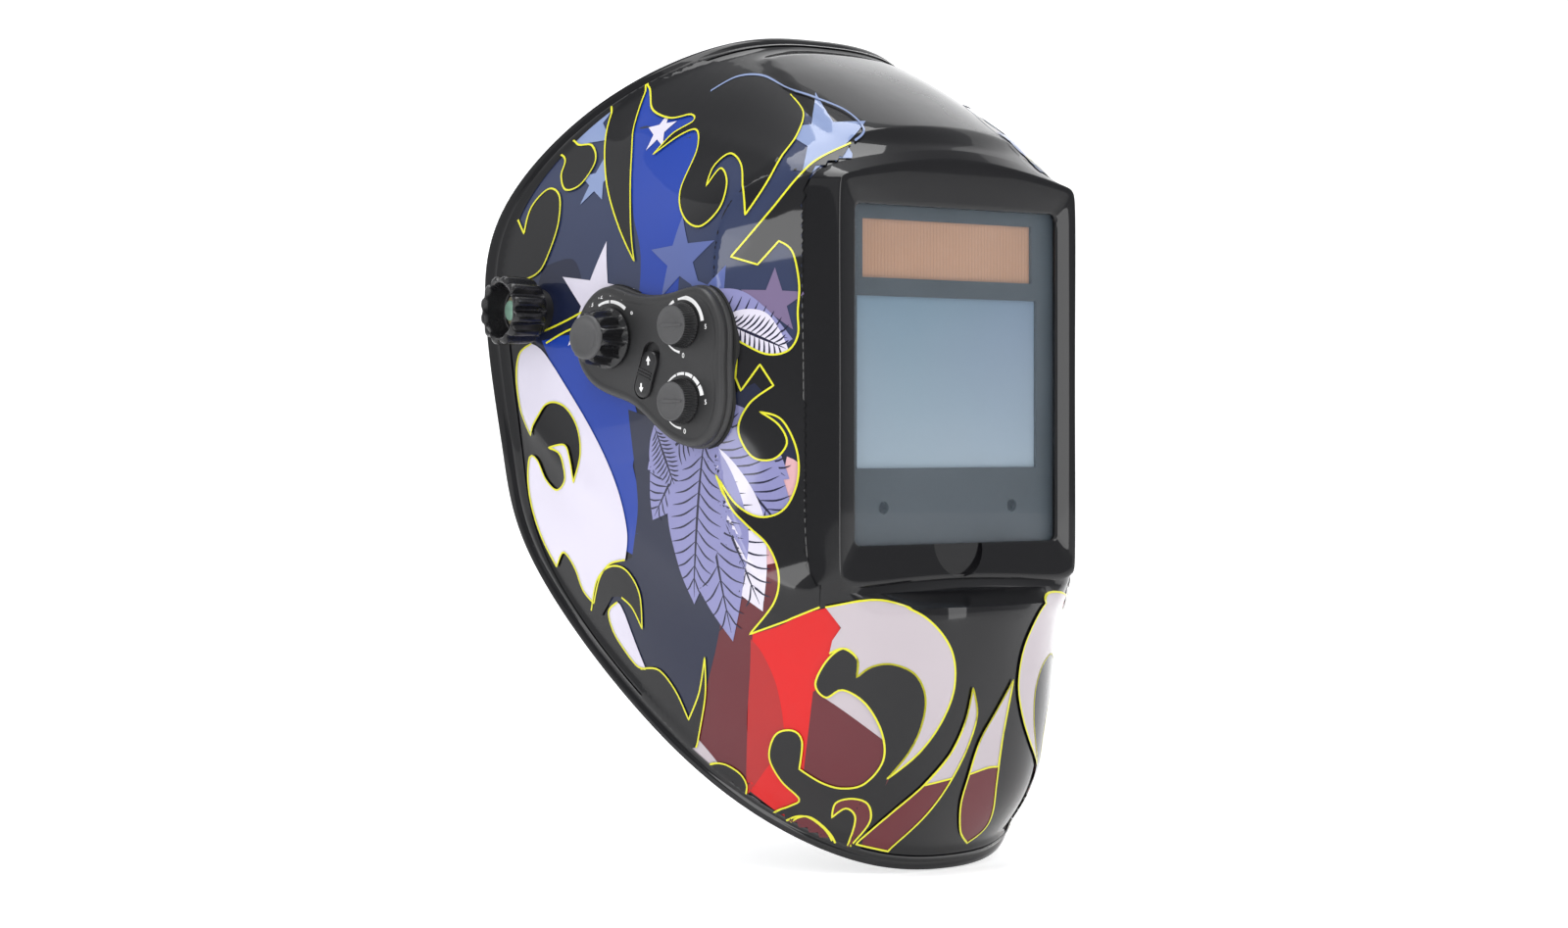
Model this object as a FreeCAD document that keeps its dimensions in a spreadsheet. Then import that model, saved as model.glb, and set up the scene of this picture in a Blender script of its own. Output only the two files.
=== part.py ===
"""Auto-darkening welding helmet: shell, filter window, control pod, pivots and headgear.

Millimetres. The origin is the middle of the flip axis, between the two pivots. +X is the wearer's
left, -Y is the front and +Z is up. "Right" and "left" are the wearer's.
"""
import FreeCAD
import Part
import math
import os

import Sketcher

from FreeCAD import Placement, Rotation, Vector

DOC = FreeCAD.newDocument("welding_helmet")
SHEET = DOC.addObject("Spreadsheet::Sheet", "Dims")

# The driving dimensions. Every other size is worked out from these.
DRIVING = {
    # shell
    "wall": 2.8,
    "bead_lift": 2.0,
    "bead_width": 5.5,
    "bezel_depth": 3.6,
    # window
    "window_width": 103,
    "window_tall": 131,
    "window_middle": -26.8,
    "bezel_back": -131.4,
    "filter_width": 114,
    "filter_tall": 133,
    "filter_thick": 10,
    "view_width": 92.5,
    "view_tall": 66.5,
    "view_middle": -29.5,
    "solar_width": 87,
    "solar_tall": 22.7,
    "solar_middle": 22.1,
    "sensor_spread": 33,
    "sensor_level": -78,
    # pivots, as distances from the middle plane
    "arm_inner": 83.5,
    "arm_thick": 2.5,
    "block_thick": 8,
    "stud_radius": 4,
    "running_gap": 0.06,
    "part_gap": 0.3,
    "bush_outer": 9,
    "bush_end": 112,
    "knob_radius": 14,
    "knob_length": 16,
    "knob_flutes": 12,
    # control pod
    "pod_turn": 10,
    "pod_face_out": 101.6,
    "pod_face_fore": 89.8,
    "pod_level": -22.5,
    "pod_skirt": 6.5,
    "pod_wall": 2,
    "pod_depth": 20,
    "shade_radius": 12,
    "shade_length": 12,
    "dial_radius": 8.8,
    "dial_length": 6,
    "dial_spacing": 29,
    "shade_back": 40,
    "shade_rise": 10.5,
    "shaft_radius": 3,
    # headgear
    "band_thick": 1.8,
    "brow_low": 18,
    "brow_high": 42,
    "pad_thick": 7,
    "strap_width": 18,
    "rear_band_tall": 20,
    "adjuster_width": 68,
    "adjuster_tall": 30,
    "adjuster_level": -38,
    "adjuster_front": 109,
    "adjuster_deep": 13,
    "pinion_radius": 6,
    "ratchet_radius": 20,
    "ratchet_length": 15,
}


class Size:
    """A length from the sheet: its value now, and the expression that binds a property to it."""

    def __init__(self, value, text):
        self.value = float(value)
        self.text = text

    def __add__(self, other):
        other = as_size(other)
        return Size(self.value + other.value, f"({self.text} + {other.text})")

    def __sub__(self, other):
        other = as_size(other)
        return Size(self.value - other.value, f"({self.text} - {other.text})")

    def __mul__(self, factor):
        return Size(self.value * factor, f"({self.text} * {factor})")

    def __neg__(self):
        return self * -1

    __radd__ = __add__
    __rmul__ = __mul__

    def __rsub__(self, other):
        return as_size(other) - self

    def __truediv__(self, divisor):
        return self * (1 / divisor)


def as_size(length):
    """The length as a Size, whether it is one already or a plain number."""
    if isinstance(length, Size):
        return length
    return Size(length, f"({float(length)})")


class Dimensions:
    """Each alias of the sheet as a Size, by name."""


def fill_sheet():
    """Put the driving dimensions into the sheet and return them by name."""
    found = Dimensions()
    for row, (alias, number) in enumerate(DRIVING.items(), start=1):
        SHEET.set(f"A{row}", alias.replace("_", " "))
        SHEET.set(f"B{row}", str(number))
        SHEET.setAlias(f"B{row}", alias)
        setattr(found, alias, Size(number, f"Dims.{alias}"))
    DOC.recompute()
    return found


D = fill_sheet()

# Directions that sub-parts are drawn in: a sub-part's own +Z points this way in the object.
UP = Rotation()
FORWARD = Rotation(Vector(1, 0, 0), 90)
REARWARD = Rotation(Vector(1, 0, 0), -90)
OUT_LEFT = Rotation(Vector(0, 1, 0), 90)
OUT_RIGHT = Rotation(Vector(0, 1, 0), -90)
SIDES = {"right": OUT_RIGHT, "left": OUT_LEFT}
SIGN = {"right": -1, "left": 1}

# The pod's own axes: x forward along its face, y up, z out of its face.
POD_ANGLE = math.radians(D.pod_turn.value)
POD_OUT = Vector(-math.cos(POD_ANGLE), -math.sin(POD_ANGLE), 0)
POD_FORE = Vector(math.sin(POD_ANGLE), -math.cos(POD_ANGLE), 0)
POD_ORIGIN = Vector(-D.pod_face_out.value, -D.pod_face_fore.value, D.pod_level.value)
POD_TURN = Rotation(POD_FORE, Vector(0, 0, 1), POD_OUT, "ZXY")

PARTS = []


# ---------------------------------------------------------------- building blocks


def bind(thing, path, length):
    """Bind one property of a document object to the sheet."""
    thing.setExpression(path, as_size(length).text)


def place(thing, spot=(0, 0, 0), turn=UP):
    """Give the object its Placement, with each coordinate bound to the sheet."""
    sizes = [as_size(part) for part in spot]
    thing.Placement = Placement(Vector(*[size.value for size in sizes]), turn)
    for axis, size in zip("xyz", sizes):
        if "Dims" in size.text:
            bind(thing, f".Placement.Base.{axis}", size)
    return thing


def pod_place(thing, x=0.0, y=0.0, z=0.0):
    """Place the object in the pod's own axes."""
    sizes = [as_size(part) for part in (x, y, z)]
    spot = POD_ORIGIN + POD_FORE * sizes[0].value + Vector(0, 0, sizes[1].value) + POD_OUT * sizes[2].value
    thing.Placement = Placement(spot, POD_TURN)
    return thing


def part(thing, label):
    """Name a finished sub-part, whose file takes the same name."""
    thing.Label = label
    PARTS.append(thing)
    return thing


def sketch_on(body):
    """A sketch on the body's own XY plane."""
    sketch = body.newObject("Sketcher::SketchObject", "Sketch")
    planes = [feature for feature in body.Origin.OriginFeatures if feature.Role == "XY_Plane"]
    sketch.AttachmentSupport = [(planes[0], "")]
    sketch.MapMode = "FlatFace"
    return sketch


def draw_polygon(sketch, points):
    """A closed polygon whose every corner is held by two dimensions bound to the sheet."""
    corners = [(as_size(x), as_size(y)) for x, y in points]
    first = sketch.GeometryCount
    count = len(corners)
    for i, (x, y) in enumerate(corners):
        end_x, end_y = corners[(i + 1) % count]
        start = Vector(x.value, y.value, 0)
        end = Vector(end_x.value, end_y.value, 0)
        sketch.addGeometry(Part.LineSegment(start, end), False)
    for i in range(count):
        following = first + (i + 1) % count
        sketch.addConstraint(Sketcher.Constraint("Coincident", first + i, 2, following, 1))
    for i, corner in enumerate(corners):
        for kind, size in zip(("DistanceX", "DistanceY"), corner):
            rule = Sketcher.Constraint(kind, -1, 1, first + i, 1, size.value)
            index = sketch.addConstraint(rule)
            bind(sketch, f"Constraints[{index}]", size)


def draw_circle(sketch, x, y, radius):
    """A circle held by its centre and its radius."""
    x, y, radius = as_size(x), as_size(y), as_size(radius)
    circle = Part.Circle(Vector(x.value, y.value, 0), Vector(0, 0, 1), radius.value)
    index = sketch.addGeometry(circle, False)
    rules = (("DistanceX", x), ("DistanceY", y))
    for kind, size in rules:
        held = sketch.addConstraint(Sketcher.Constraint(kind, -1, 1, index, 3, size.value))
        bind(sketch, f"Constraints[{held}]", size)
    held = sketch.addConstraint(Sketcher.Constraint("Radius", index, radius.value))
    bind(sketch, f"Constraints[{held}]", radius)


def rectangle(width, tall, x=0.0, y=0.0):
    """The corners of a rectangle about a middle point."""
    width, tall, x, y = (as_size(length) for length in (width, tall, x, y))
    low_x, high_x = x - width / 2, x + width / 2
    low_y, high_y = y - tall / 2, y + tall / 2
    return [(low_x, low_y), (high_x, low_y), (high_x, high_y), (low_x, high_y)]


def padded(name, polygons, circles, thick, corner=None):
    """A body with one pad: the first outline is its edge, and the others are openings in it."""
    body = DOC.addObject("PartDesign::Body", name)
    sketch = sketch_on(body)
    for points in polygons:
        draw_polygon(sketch, points)
    for circle in circles:
        draw_circle(sketch, *circle)
    pad = body.newObject("PartDesign::Pad", "Pad")
    pad.Profile = sketch
    bind(pad, "Length", thick)
    sketch.Visibility = False
    DOC.recompute()
    if corner is not None:
        round_corners(body, pad, corner)
    return body


def round_corners(body, pad, radius):
    """Round the pad's outermost corners."""
    bounds = pad.Shape.BoundBox
    reach = min(bounds.XLength, bounds.YLength) * 0.02
    upright = []
    for number, edge in enumerate(pad.Shape.Edges, start=1):
        if edge.Curve.TypeId != "Part::GeomLine" or abs(edge.Curve.Direction.z) < 0.99:
            continue
        spot = edge.Vertexes[0].Point
        off_x = bounds.XLength / 2 - abs(spot.x - bounds.Center.x)
        off_y = bounds.YLength / 2 - abs(spot.y - bounds.Center.y)
        if max(off_x, off_y) < reach:
            upright.append(f"Edge{number}")
    fillet = body.newObject("PartDesign::Fillet", "Fillet")
    fillet.Base = (pad, upright)
    bind(fillet, "Radius", radius)
    body.Tip = fillet
    DOC.recompute()


def turned(name, profile):
    """A body turned about its own Z axis. The profile lists (radius, height) corners."""
    body = DOC.addObject("PartDesign::Body", name)
    sketch = body.newObject("Sketcher::SketchObject", "Sketch")
    planes = [feature for feature in body.Origin.OriginFeatures if feature.Role == "XZ_Plane"]
    sketch.AttachmentSupport = [(planes[0], "")]
    sketch.MapMode = "FlatFace"
    draw_polygon(sketch, profile)
    turn = body.newObject("PartDesign::Revolution", "Revolution")
    turn.Profile = sketch
    turn.ReferenceAxis = (sketch, ["V_Axis"])
    turn.Angle = 360
    DOC.recompute()
    return body


def flute(body, radius, centre, count):
    """Cut upright flutes all round a turned body."""
    before = body.Shape.Volume
    sketch = sketch_on(body)
    draw_circle(sketch, centre, 0, radius)
    pocket = body.newObject("PartDesign::Pocket", "Pocket")
    pocket.Profile = sketch
    pocket.Type = "ThroughAll"
    pocket.Reversed = True
    DOC.recompute()
    pattern = body.newObject("PartDesign::PolarPattern", "PolarPattern")
    pattern.Originals = [pocket]
    pattern.Axis = (sketch, ["N_Axis"])
    pattern.Angle = 360
    bind(pattern, "Occurrences", count)
    body.Tip = pattern
    DOC.recompute()
    if body.Shape.Volume > before - 1:
        raise RuntimeError(f"{body.Name}: the flutes cut nothing")
    return body


def cylinder(name, radius, length, spot, turn):
    """A Part cylinder along its own Z axis."""
    rod = DOC.addObject("Part::Cylinder", name)
    bind(rod, "Radius", radius)
    bind(rod, "Height", length)
    return place(rod, spot, turn)


def box(name, low, high):
    """A Part box between two corners in the object's axes."""
    block = DOC.addObject("Part::Box", name)
    low = [as_size(part) for part in low]
    high = [as_size(part) for part in high]
    for side, start, end in zip(("Length", "Width", "Height"), low, high):
        bind(block, side, end - start)
    return place(block, low)


def cut(name, base, *tools):
    """The base with every tool cut out of it."""
    for tool in tools:
        result = DOC.addObject("Part::Cut", name)
        result.Base = base
        result.Tool = tool
        base = result
    return base


def fuse(name, *pieces):
    """The pieces as one solid."""
    result = DOC.addObject("Part::MultiFuse", name)
    result.Shapes = list(pieces)
    return result


def group(name, *pieces):
    """Separate solids in one sub-part."""
    result = DOC.addObject("Part::Compound", name)
    result.Links = list(pieces)
    return result


def freeform(name, shape, placement=None):
    """A shape made by Part's own functions, for a form that no sketch or primitive gives."""
    thing = DOC.addObject("Part::Feature", name)
    thing.Shape = shape
    if placement is not None:
        thing.Placement = placement
    return thing


# ---------------------------------------------------------------- helmet shell

# The shell is a skin over rings that run round the face opening. Each ring is given by its left half,
# from the middle of the chin round the side to the middle of the crown; the right half mirrors it.
RIM = [(0, -124, -219), (34, -116, -215), (62, -91, -199), (86, -58, -169), (106, 6, -101),
       (112, 19, -58), (113, 31, 0), (106, 27, 44), (84, -4, 82), (44, -36, 107), (0, -41, 112)]
FLANK = [(0, -143, -184), (32, -139, -182), (58, -118, -171), (80, -86, -147), (98, -46, -100),
         (102, -44, -58), (102.5, -42, 0), (97, -40, 38), (76, -56, 70), (42, -78, 89), (0, -82, 94)]
SHOULDER = [(0, -153, -116), (28, -148, -116), (48, -137, -118), (66, -121, -121), (84, -107, -100),
            (92, -99, -58), (93, -99, 0), (87, -98, 36), (68, -109, 55), (40, -120, 66), (0, -124, 70)]
BOX_FOOT = [(0, -137, -110), (28, -136, -110), (52, -134, -110), (62, -130, -108), (66, -123, -96),
            (66.5, -122, -58), (66.5, -121, -5), (66, -121, 38), (60, -124, 52), (36, -130, 58),
            (0, -133, 61)]
BOX_EDGE = [(0, -135, -106), (30, -135, -107), (52, -135, -108), (59, -135, -106), (61, -135, -96),
            (61, -135, -58), (61, -135, -5), (61, -135, 40), (56, -135, 50), (32, -135, 55), (0, -135, 58)]
RINGS = [[Vector(*point) for point in ring] for ring in (RIM, FLANK, SHOULDER, BOX_FOOT)]
LAST = len(RINGS) - 1


def along(row, position):
    """The point on the shell's outside at one row, position 0 at the rim to LAST at the box's foot.

    It is a smooth curve from the rim to the shoulder, and straight from there to the box's foot.
    """
    start = min(int(position), LAST - 1)
    t = position - start
    p1, p2 = RINGS[start][row], RINGS[start + 1][row]
    if start == LAST - 1:
        return p1 + (p2 - p1) * t
    p0 = RINGS[start - 1][row] if start > 0 else p1 * 2 - p2
    p3 = RINGS[start + 2][row] if start + 2 < LAST else p2 * 2 - p1
    straight = p1 * 2 + (p2 - p0) * t
    bend = (p0 * 2 - p1 * 5 + p2 * 4 - p3) * t ** 2
    twist = (p1 * 3 - p0 - p2 * 3 + p3) * t ** 3
    return (straight + bend + twist) * 0.5


def outward(row, position):
    """The shell's outward normal at one point of its outside."""
    rows = len(RIM)
    step = 0.08
    before = along(row - 1, position) if row > 0 else mirrored(along(1, position))
    after = along(row + 1, position) if row + 1 < rows else mirrored(along(rows - 2, position))
    across = along(row, min(position + step, LAST)) - along(row, max(position - step, 0))
    return (after - before).cross(across).normalize()


def mirrored(point):
    """The same point on the other side of the middle plane."""
    return Vector(-point.x, point.y, point.z)


def skin_ring(position, lift=0.0, inset=0.0):
    """A half ring on the shell, lifted off its outside, and inset from the rim by a length."""
    half = []
    for row in range(len(RIM)):
        reach = (along(row, 0.5) - along(row, 0)).Length * 2
        spot = position + inset / reach
        half.append(along(row, spot) + outward(row, spot) * lift)
    return half


def face_ring(inset, depth):
    """A half ring inside the window box's front edge, moved in towards the window and back."""
    middle = D.window_middle.value
    half = []
    for x, y, z in BOX_EDGE:
        shrink_x = x * (1 - inset / 61)
        shrink_z = middle + (z - middle) * (1 - inset / 80)
        half.append(Vector(shrink_x, y + depth, shrink_z))
    return half


def ring_edge(half, spacing):
    """A closed smooth edge through a half ring and its mirror image."""
    points = half + [mirrored(point) for point in half[-2:0:-1]]
    curve = Part.BSplineCurve()
    curve.interpolate(Points=points, PeriodicFlag=True, Parameters=spacing)
    return curve.toShape()


def ring_spacing():
    """How far apart the rows lie round the rings, the same for every ring so that rows line up."""
    rows = len(RIM)
    steps = []
    for row in range(rows - 1):
        lengths = [(ring[row + 1] - ring[row]).Length for ring in RINGS]
        steps.append(sum(lengths) / len(lengths))
    spacing = [0.0]
    for step in steps + steps[::-1]:
        spacing.append(spacing[-1] + step)
    return spacing


def shell_skin():
    """The shell as one closed solid: outside, window bezel, inside and rim."""
    wall = D.wall.value
    bead = D.bead_lift.value
    stations = [0.5, 1, 1.5, LAST - 1, LAST]
    halves = [skin_ring(0, bead), skin_ring(0, bead, D.bead_width.value)]
    halves.append(skin_ring(0, 0, D.bead_width.value + bead))
    halves += [skin_ring(station) for station in stations]
    deep = D.bezel_depth.value
    for inset, depth in ((0, 0), (9, deep - 1.4), (20, deep - 1.2), (20, deep), (wall, deep)):
        halves.append(face_ring(inset, depth))
    halves += [skin_ring(station, -wall) for station in reversed(stations)]
    halves.append(skin_ring(0, -wall))
    spacing = ring_spacing()
    edges = [ring_edge(half, spacing) for half in halves]
    faces = []
    for first, second in zip(edges, edges[1:] + edges[:1]):
        faces.append(Part.makeRuledSurface(first, second))
    skin = Part.makeShell(faces)
    skin.sewShape()
    solid = Part.makeSolid(skin)
    if solid.Volume < 0:
        solid.reverse()
    return solid


# ---------------------------------------------------------------- control pod outline

# The pod's edge seen from outside: x forward, y up, about the middle between the two front dials.
POD_EDGE = [(20.5, 0), (20, 16), (9, 29), (-5, 28), (-18, 26.5), (-30, 28), (-43, 31), (-56, 23),
            (-60.5, 10), (-54, -5), (-41, -12), (-28, -16), (-16, -24), (-3, -31), (11, -31), (19.5, -20)]
POD_SEAL = 1.2
POD_SCREWS = [(13, 2), (-24, 18), (-24, -8)]


def pod_wire(inset):
    """The pod's outline as a closed curve, moved in by a distance (out if negative)."""
    count = len(POD_EDGE)
    points = []
    for i, (x, y) in enumerate(POD_EDGE):
        before, after = POD_EDGE[i - 1], POD_EDGE[(i + 1) % count]
        run = Vector(after[0] - before[0], after[1] - before[1], 0).normalize()
        points.append(Vector(x, y, 0) + Vector(-run.y, run.x, 0) * inset)
    curve = Part.BSplineCurve()
    curve.interpolate(Points=points, PeriodicFlag=True)
    return Part.Wire([curve.toShape()])


def pod_slab(name, inset, low, high):
    """A slab of the pod's outline between two heights over its face."""
    face = Part.Face(pod_wire(inset))
    slab = face.extrude(Vector(0, 0, high - low))
    turn = Placement(POD_ORIGIN + POD_OUT * low, POD_TURN)
    return freeform(name, slab, turn)


# ---------------------------------------------------------------- shell and its fittings

BOSS_SPOTS = [(x, z) for x in (-69, 69) for z in (-84, 30)]
BOSS_FACE = -108.4
BOSS_LENGTH = 5.4
KNOB_START = D.bush_end + 0.4


def make_shell():
    """The helmet shell, with its window, pivot holes, pod opening and screw bosses."""
    skin = freeform("shell_skin", shell_skin())
    tools = []
    window = padded("window_cut", [rectangle(D.window_width, D.window_tall)], [], 12, 3)
    tools.append(place(window, (0, D.bezel_back + 4, D.window_middle), FORWARD))
    notch = cylinder("thumb_notch", 12.5, 8, (0, -128, -93), FORWARD)
    for side, turn in SIDES.items():
        hole = cylinder(f"pivot_hole_{side}", D.bush_outer + 0.05, 30, (0, 0, 0), turn)
        hole.Placement.Base = Vector(SIGN[side] * 95, 0, 0)
        tools.append(hole)
    tools.append(pod_slab("pod_opening", 2.7, -34, 8))
    seat = pod_slab("pod_seat", -1.1, -D.pod_skirt.value - POD_SEAL - 0.05, 8)
    bosses = []
    for number, (x, z) in enumerate(BOSS_SPOTS):
        bosses.append(cylinder(f"boss_{number}", 4, BOSS_LENGTH, (x, BOSS_FACE, z), FORWARD))
    for number, (x, z) in enumerate(BOSS_SPOTS):
        hole_length = BOSS_LENGTH + 0.6
        tools.append(cylinder(f"boss_hole_{number}", 1.55, hole_length, (x, BOSS_FACE + 1, z), FORWARD))
    whole = fuse("shell_with_bosses", skin, *bosses)
    part(cut("shell_cut", whole, notch, seat, group("shell_tools", *tools)), "helmet_shell")


def make_window():
    """The outer cover lens and its gasket."""
    lens = padded("Lens", [rectangle(D.filter_width, D.filter_tall)], [], 1.2, 2)
    lens_back = D.bezel_back + 1.4
    part(place(lens, (0, lens_back, D.window_middle), FORWARD), "cover_lens")
    opening = rectangle(D.filter_width - 4, D.filter_tall - 2)
    seal = padded("Gasket", [rectangle(D.filter_width, D.filter_tall), opening], [], 2.4)
    part(place(seal, (0, lens_back + 2.4, D.window_middle), FORWARD), "lens_gasket")
    return lens_back + 2.5


def filter_plate(name, width, tall, level, back, thick, openings=(), circles=(), corner=None):
    """A flat piece of the filter, given by its rear face and thickness."""
    polygons = [rectangle(width, tall)] + list(openings)
    plate = padded(name, polygons, circles, thick, corner)
    return place(plate, (0, back, level), FORWARD)


def make_filter(front):
    """The auto-darkening filter, from its front face backwards."""
    rear = front + D.filter_thick
    lid = 1.4
    middle = D.window_middle
    view = rectangle(D.view_width, D.view_tall, 0, D.view_middle - middle)
    solar = rectangle(D.solar_width, D.solar_tall, 0, D.solar_middle - middle)
    sensors = [(side * D.sensor_spread, D.sensor_level - middle, 2.5) for side in (-1, 1)]
    tray = filter_plate("Tray", D.filter_width, D.filter_tall, middle, rear - lid,
                        D.filter_thick - lid, [view, solar], sensors, 2)
    hollow = filter_plate("Hollow", D.filter_width - 4, D.filter_tall - 4, middle, rear,
                          D.filter_thick - 1.5)
    part(cut("filter_tray", tray, hollow), "filter_housing")
    button_hole = (30, D.sensor_level - middle, 4.3)
    lid_view = rectangle(D.view_width + 1, D.view_tall + 1, 0, D.view_middle - middle)
    part(filter_plate("Lid", D.filter_width, D.filter_tall, middle, rear, lid, [lid_view],
                      [button_hole], 2), "filter_back_cover")
    inside = front + 1.5
    part(filter_plate("Solar", D.solar_width + 3, D.solar_tall + 3, D.solar_middle, inside + 1, 1),
         "solar_panel")
    glass_width, glass_tall = D.view_width + 5, D.view_tall + 5
    part(filter_plate("Glass", glass_width, glass_tall, D.view_middle, inside + 1.1, 1.1), "uv_ir_filter")
    part(filter_plate("Crystal", glass_width, glass_tall, D.view_middle, inside + 4.1, 3), "lcd_stack")
    part(filter_plate("Board", 104, 22, D.sensor_level, inside + 4.8, 1.6), "control_board")
    eyes = []
    for number, (x, z, radius) in enumerate(sensors):
        eyes.append(cylinder(f"eye_{number}", radius + 0.9, 2.9, (x, inside + 3.1, z + middle), FORWARD))
    part(group("eyes", *eyes), "arc_sensors")
    button = turned("Button", [(0, 0), (4, 0), (4, 4.2), (0, 4.2)])
    part(place(button, (30, rear + 1.8, D.sensor_level), FORWARD), "test_button")
    part(filter_plate("InnerLens", 107, 76, D.view_middle, rear + 1.1, 1, (), (), 2), "inner_cover_lens")
    return rear


def make_holder(rear):
    """The frame that holds the filter against the bezel, its screws and its two sliding latches."""
    plate_thick = 3
    back = BOSS_FACE + plate_thick
    middle = D.window_middle
    holes = [(x, z - middle.value, 1.7) for x, z in BOSS_SPOTS]
    slots = [rectangle(4.6, 18, x, 0) for x in (-63.5, 63.5)]
    view = rectangle(102, 108)
    plate = filter_plate("Plate", 148, D.filter_tall, middle, back, plate_thick, [view] + slots, holes, 6)
    wall_length = BOSS_FACE - rear - D.part_gap
    rim = filter_plate("Rim", D.filter_width, D.filter_tall, middle, BOSS_FACE, wall_length,
                       [rectangle(D.filter_width - 5, D.filter_tall - 5)])
    part(fuse("holder", plate, rim), "cartridge_holder")
    screws = []
    for number, (x, z) in enumerate(BOSS_SPOTS):
        screw = turned(f"screw_{number}", [(0, -1.8), (3.2, -1.8), (3.2, 0), (1.5, 0), (1.5, 7.2), (0, 7.2)])
        screws.append(place(screw, (x, back, z), FORWARD))
    part(group("screws", *screws), "holder_screws")
    for side, sign in SIGN.items():
        x = sign * 63.5
        grip = box(f"grip_{side}", (x - 5, back + 0.3, middle - 10), (x + 5, back + 3.8, middle + 6))
        foot, head = middle - 8.5, middle + 1.5
        tongue = box(f"tongue_{side}", (x - 2, BOSS_FACE - 1.5, foot), (x + 2, back + 1, head))
        hook = box(f"hook_{side}", (x - 3.8, BOSS_FACE - 2.3, foot), (x + 3.8, BOSS_FACE - 0.3, head))
        part(fuse(f"latch_{side}", grip, tongue, hook), f"holder_latch_{side}")


# ---------------------------------------------------------------- pivots


def make_pivots():
    """Bushes, studs, washers, stops, slider blocks and tension knobs on both sides."""
    block_start = D.arm_inner + D.arm_thick + D.part_gap
    block_end = block_start + D.block_thick
    stop_end = block_end + 2.5
    washer_end = stop_end + 1.2
    bush_start = washer_end + D.part_gap
    bore = D.stud_radius + D.running_gap
    knob_end = KNOB_START + D.knob_length
    studs, washers = [], []
    for side, turn in SIDES.items():
        bush = turned(f"Bush{side}", [(bore, bush_start), (13, bush_start), (13, bush_start + 2.5),
                                      (D.bush_outer, bush_start + 2.5), (D.bush_outer, D.bush_end),
                                      (bore, D.bush_end)])
        part(place(bush, turn=turn), f"pivot_bushing_{side}")
        stud = turned(f"Stud{side}", [(0, block_start + 2), (8.9, block_start + 2), (8.9, block_start + 5),
                                      (D.stud_radius, block_start + 5), (D.stud_radius, knob_end - 6),
                                      (0, knob_end - 6)])
        studs.append(place(stud, turn=turn))
        washer = turned(f"Washer{side}", [(bore, stop_end), (14, stop_end), (14, washer_end),
                                          (bore, washer_end)])
        washers.append(place(washer, turn=turn))
        make_slider(side, turn, block_start, block_end, bore)
        make_stop(side, turn, block_end, stop_end, bore)
        make_tension_knob(side, turn, bore, knob_end)
    part(group("studs", *studs), "pivot_studs")
    part(group("washers", *washers), "friction_washers")


def make_slider(side, turn, start, end, bore):
    """The block that carries one pivot along the headgear's arm, with its key in the arm's slot."""
    block = padded(f"Block{side}", [rectangle(26, 34)], [], end - start, 4)
    place(block, turn=turn)
    block.Placement.Base = Vector(SIGN[side] * start.value, 0, 0)
    cap_start = D.arm_inner.value - D.part_gap.value - 1.6
    key = padded(f"Key{side}", [rectangle(8.2, 12)], [], D.arm_thick + 1)
    place(key, turn=turn)
    key.Placement.Base = Vector(SIGN[side] * (cap_start + 1.5), 0, 0)
    cap = padded(f"Cap{side}", [rectangle(13, 12)], [], 1.6, 1)
    place(cap, turn=turn)
    cap.Placement.Base = Vector(SIGN[side] * cap_start, 0, 0)
    seat = turned(f"Seat{side}", [(0, start + 2), (8.9, start + 2), (8.9, start + 5), (bore, start + 5),
                                  (bore, end + 1), (0, end + 1)])
    place(seat, turn=turn)
    solid = fuse(f"block_and_key_{side}", block, key, cap)
    part(cut(f"slider_cut_{side}", solid, seat), f"slider_block_{side}")


def make_stop(side, turn, start, end, bore):
    """The disc on the slider block that limits how far down the helmet swings."""
    disc = turned(f"Disc{side}", [(bore, start), (17, start), (17, end), (bore, end)])
    place(disc, turn=turn)
    tab = padded(f"Tab{side}", [rectangle(8, 8)], [], end - start)
    place(tab, turn=turn)
    tab.Placement.Base = Vector(SIGN[side] * start.value, 19, 0)
    part(fuse(f"stop_{side}", disc, tab), f"tilt_stop_{side}")


def make_tension_knob(side, turn, bore, knob_end):
    """The fluted outside knob with its deep cup, and the metal insert that runs on the stud."""
    start = KNOB_START
    cup = knob_end - 9.5
    insert = 6.6
    knob = turned(f"Knob{side}", [(insert, start), (D.knob_radius - 1.5, start),
                                  (D.knob_radius - 0.4, start + 3), (D.knob_radius, knob_end - 1.5),
                                  (D.knob_radius - 1.2, knob_end), (10.6, knob_end), (9.6, cup),
                                  (insert, cup)])
    flute(knob, 2.6, D.knob_radius + 1.1, D.knob_flutes)
    part(place(knob, turn=turn), f"tension_knob_{side}")
    nut = turned(f"Nut{side}", [(bore, start), (insert, start), (insert, cup + 1.2), (bore, cup + 1.2)])
    part(place(nut, turn=turn), f"knob_insert_{side}")


# ---------------------------------------------------------------- control pod


def pod_circle(name, x, y, radius, low, high):
    """A cylinder in the pod's axes."""
    rod = DOC.addObject("Part::Cylinder", name)
    bind(rod, "Radius", radius)
    bind(rod, "Height", as_size(high) - as_size(low))
    return pod_place(rod, x, y, low)


def pod_controls():
    """Where each control stands on the pod's face, and its knob's radius and length."""
    half = D.dial_spacing / 2
    return {
        "shade": (-D.shade_back, D.shade_rise, D.shade_radius, D.shade_length),
        "sensitivity": (as_size(0), half, D.dial_radius, D.dial_length),
        "delay": (as_size(0), -half, D.dial_radius, D.dial_length),
    }


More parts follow.
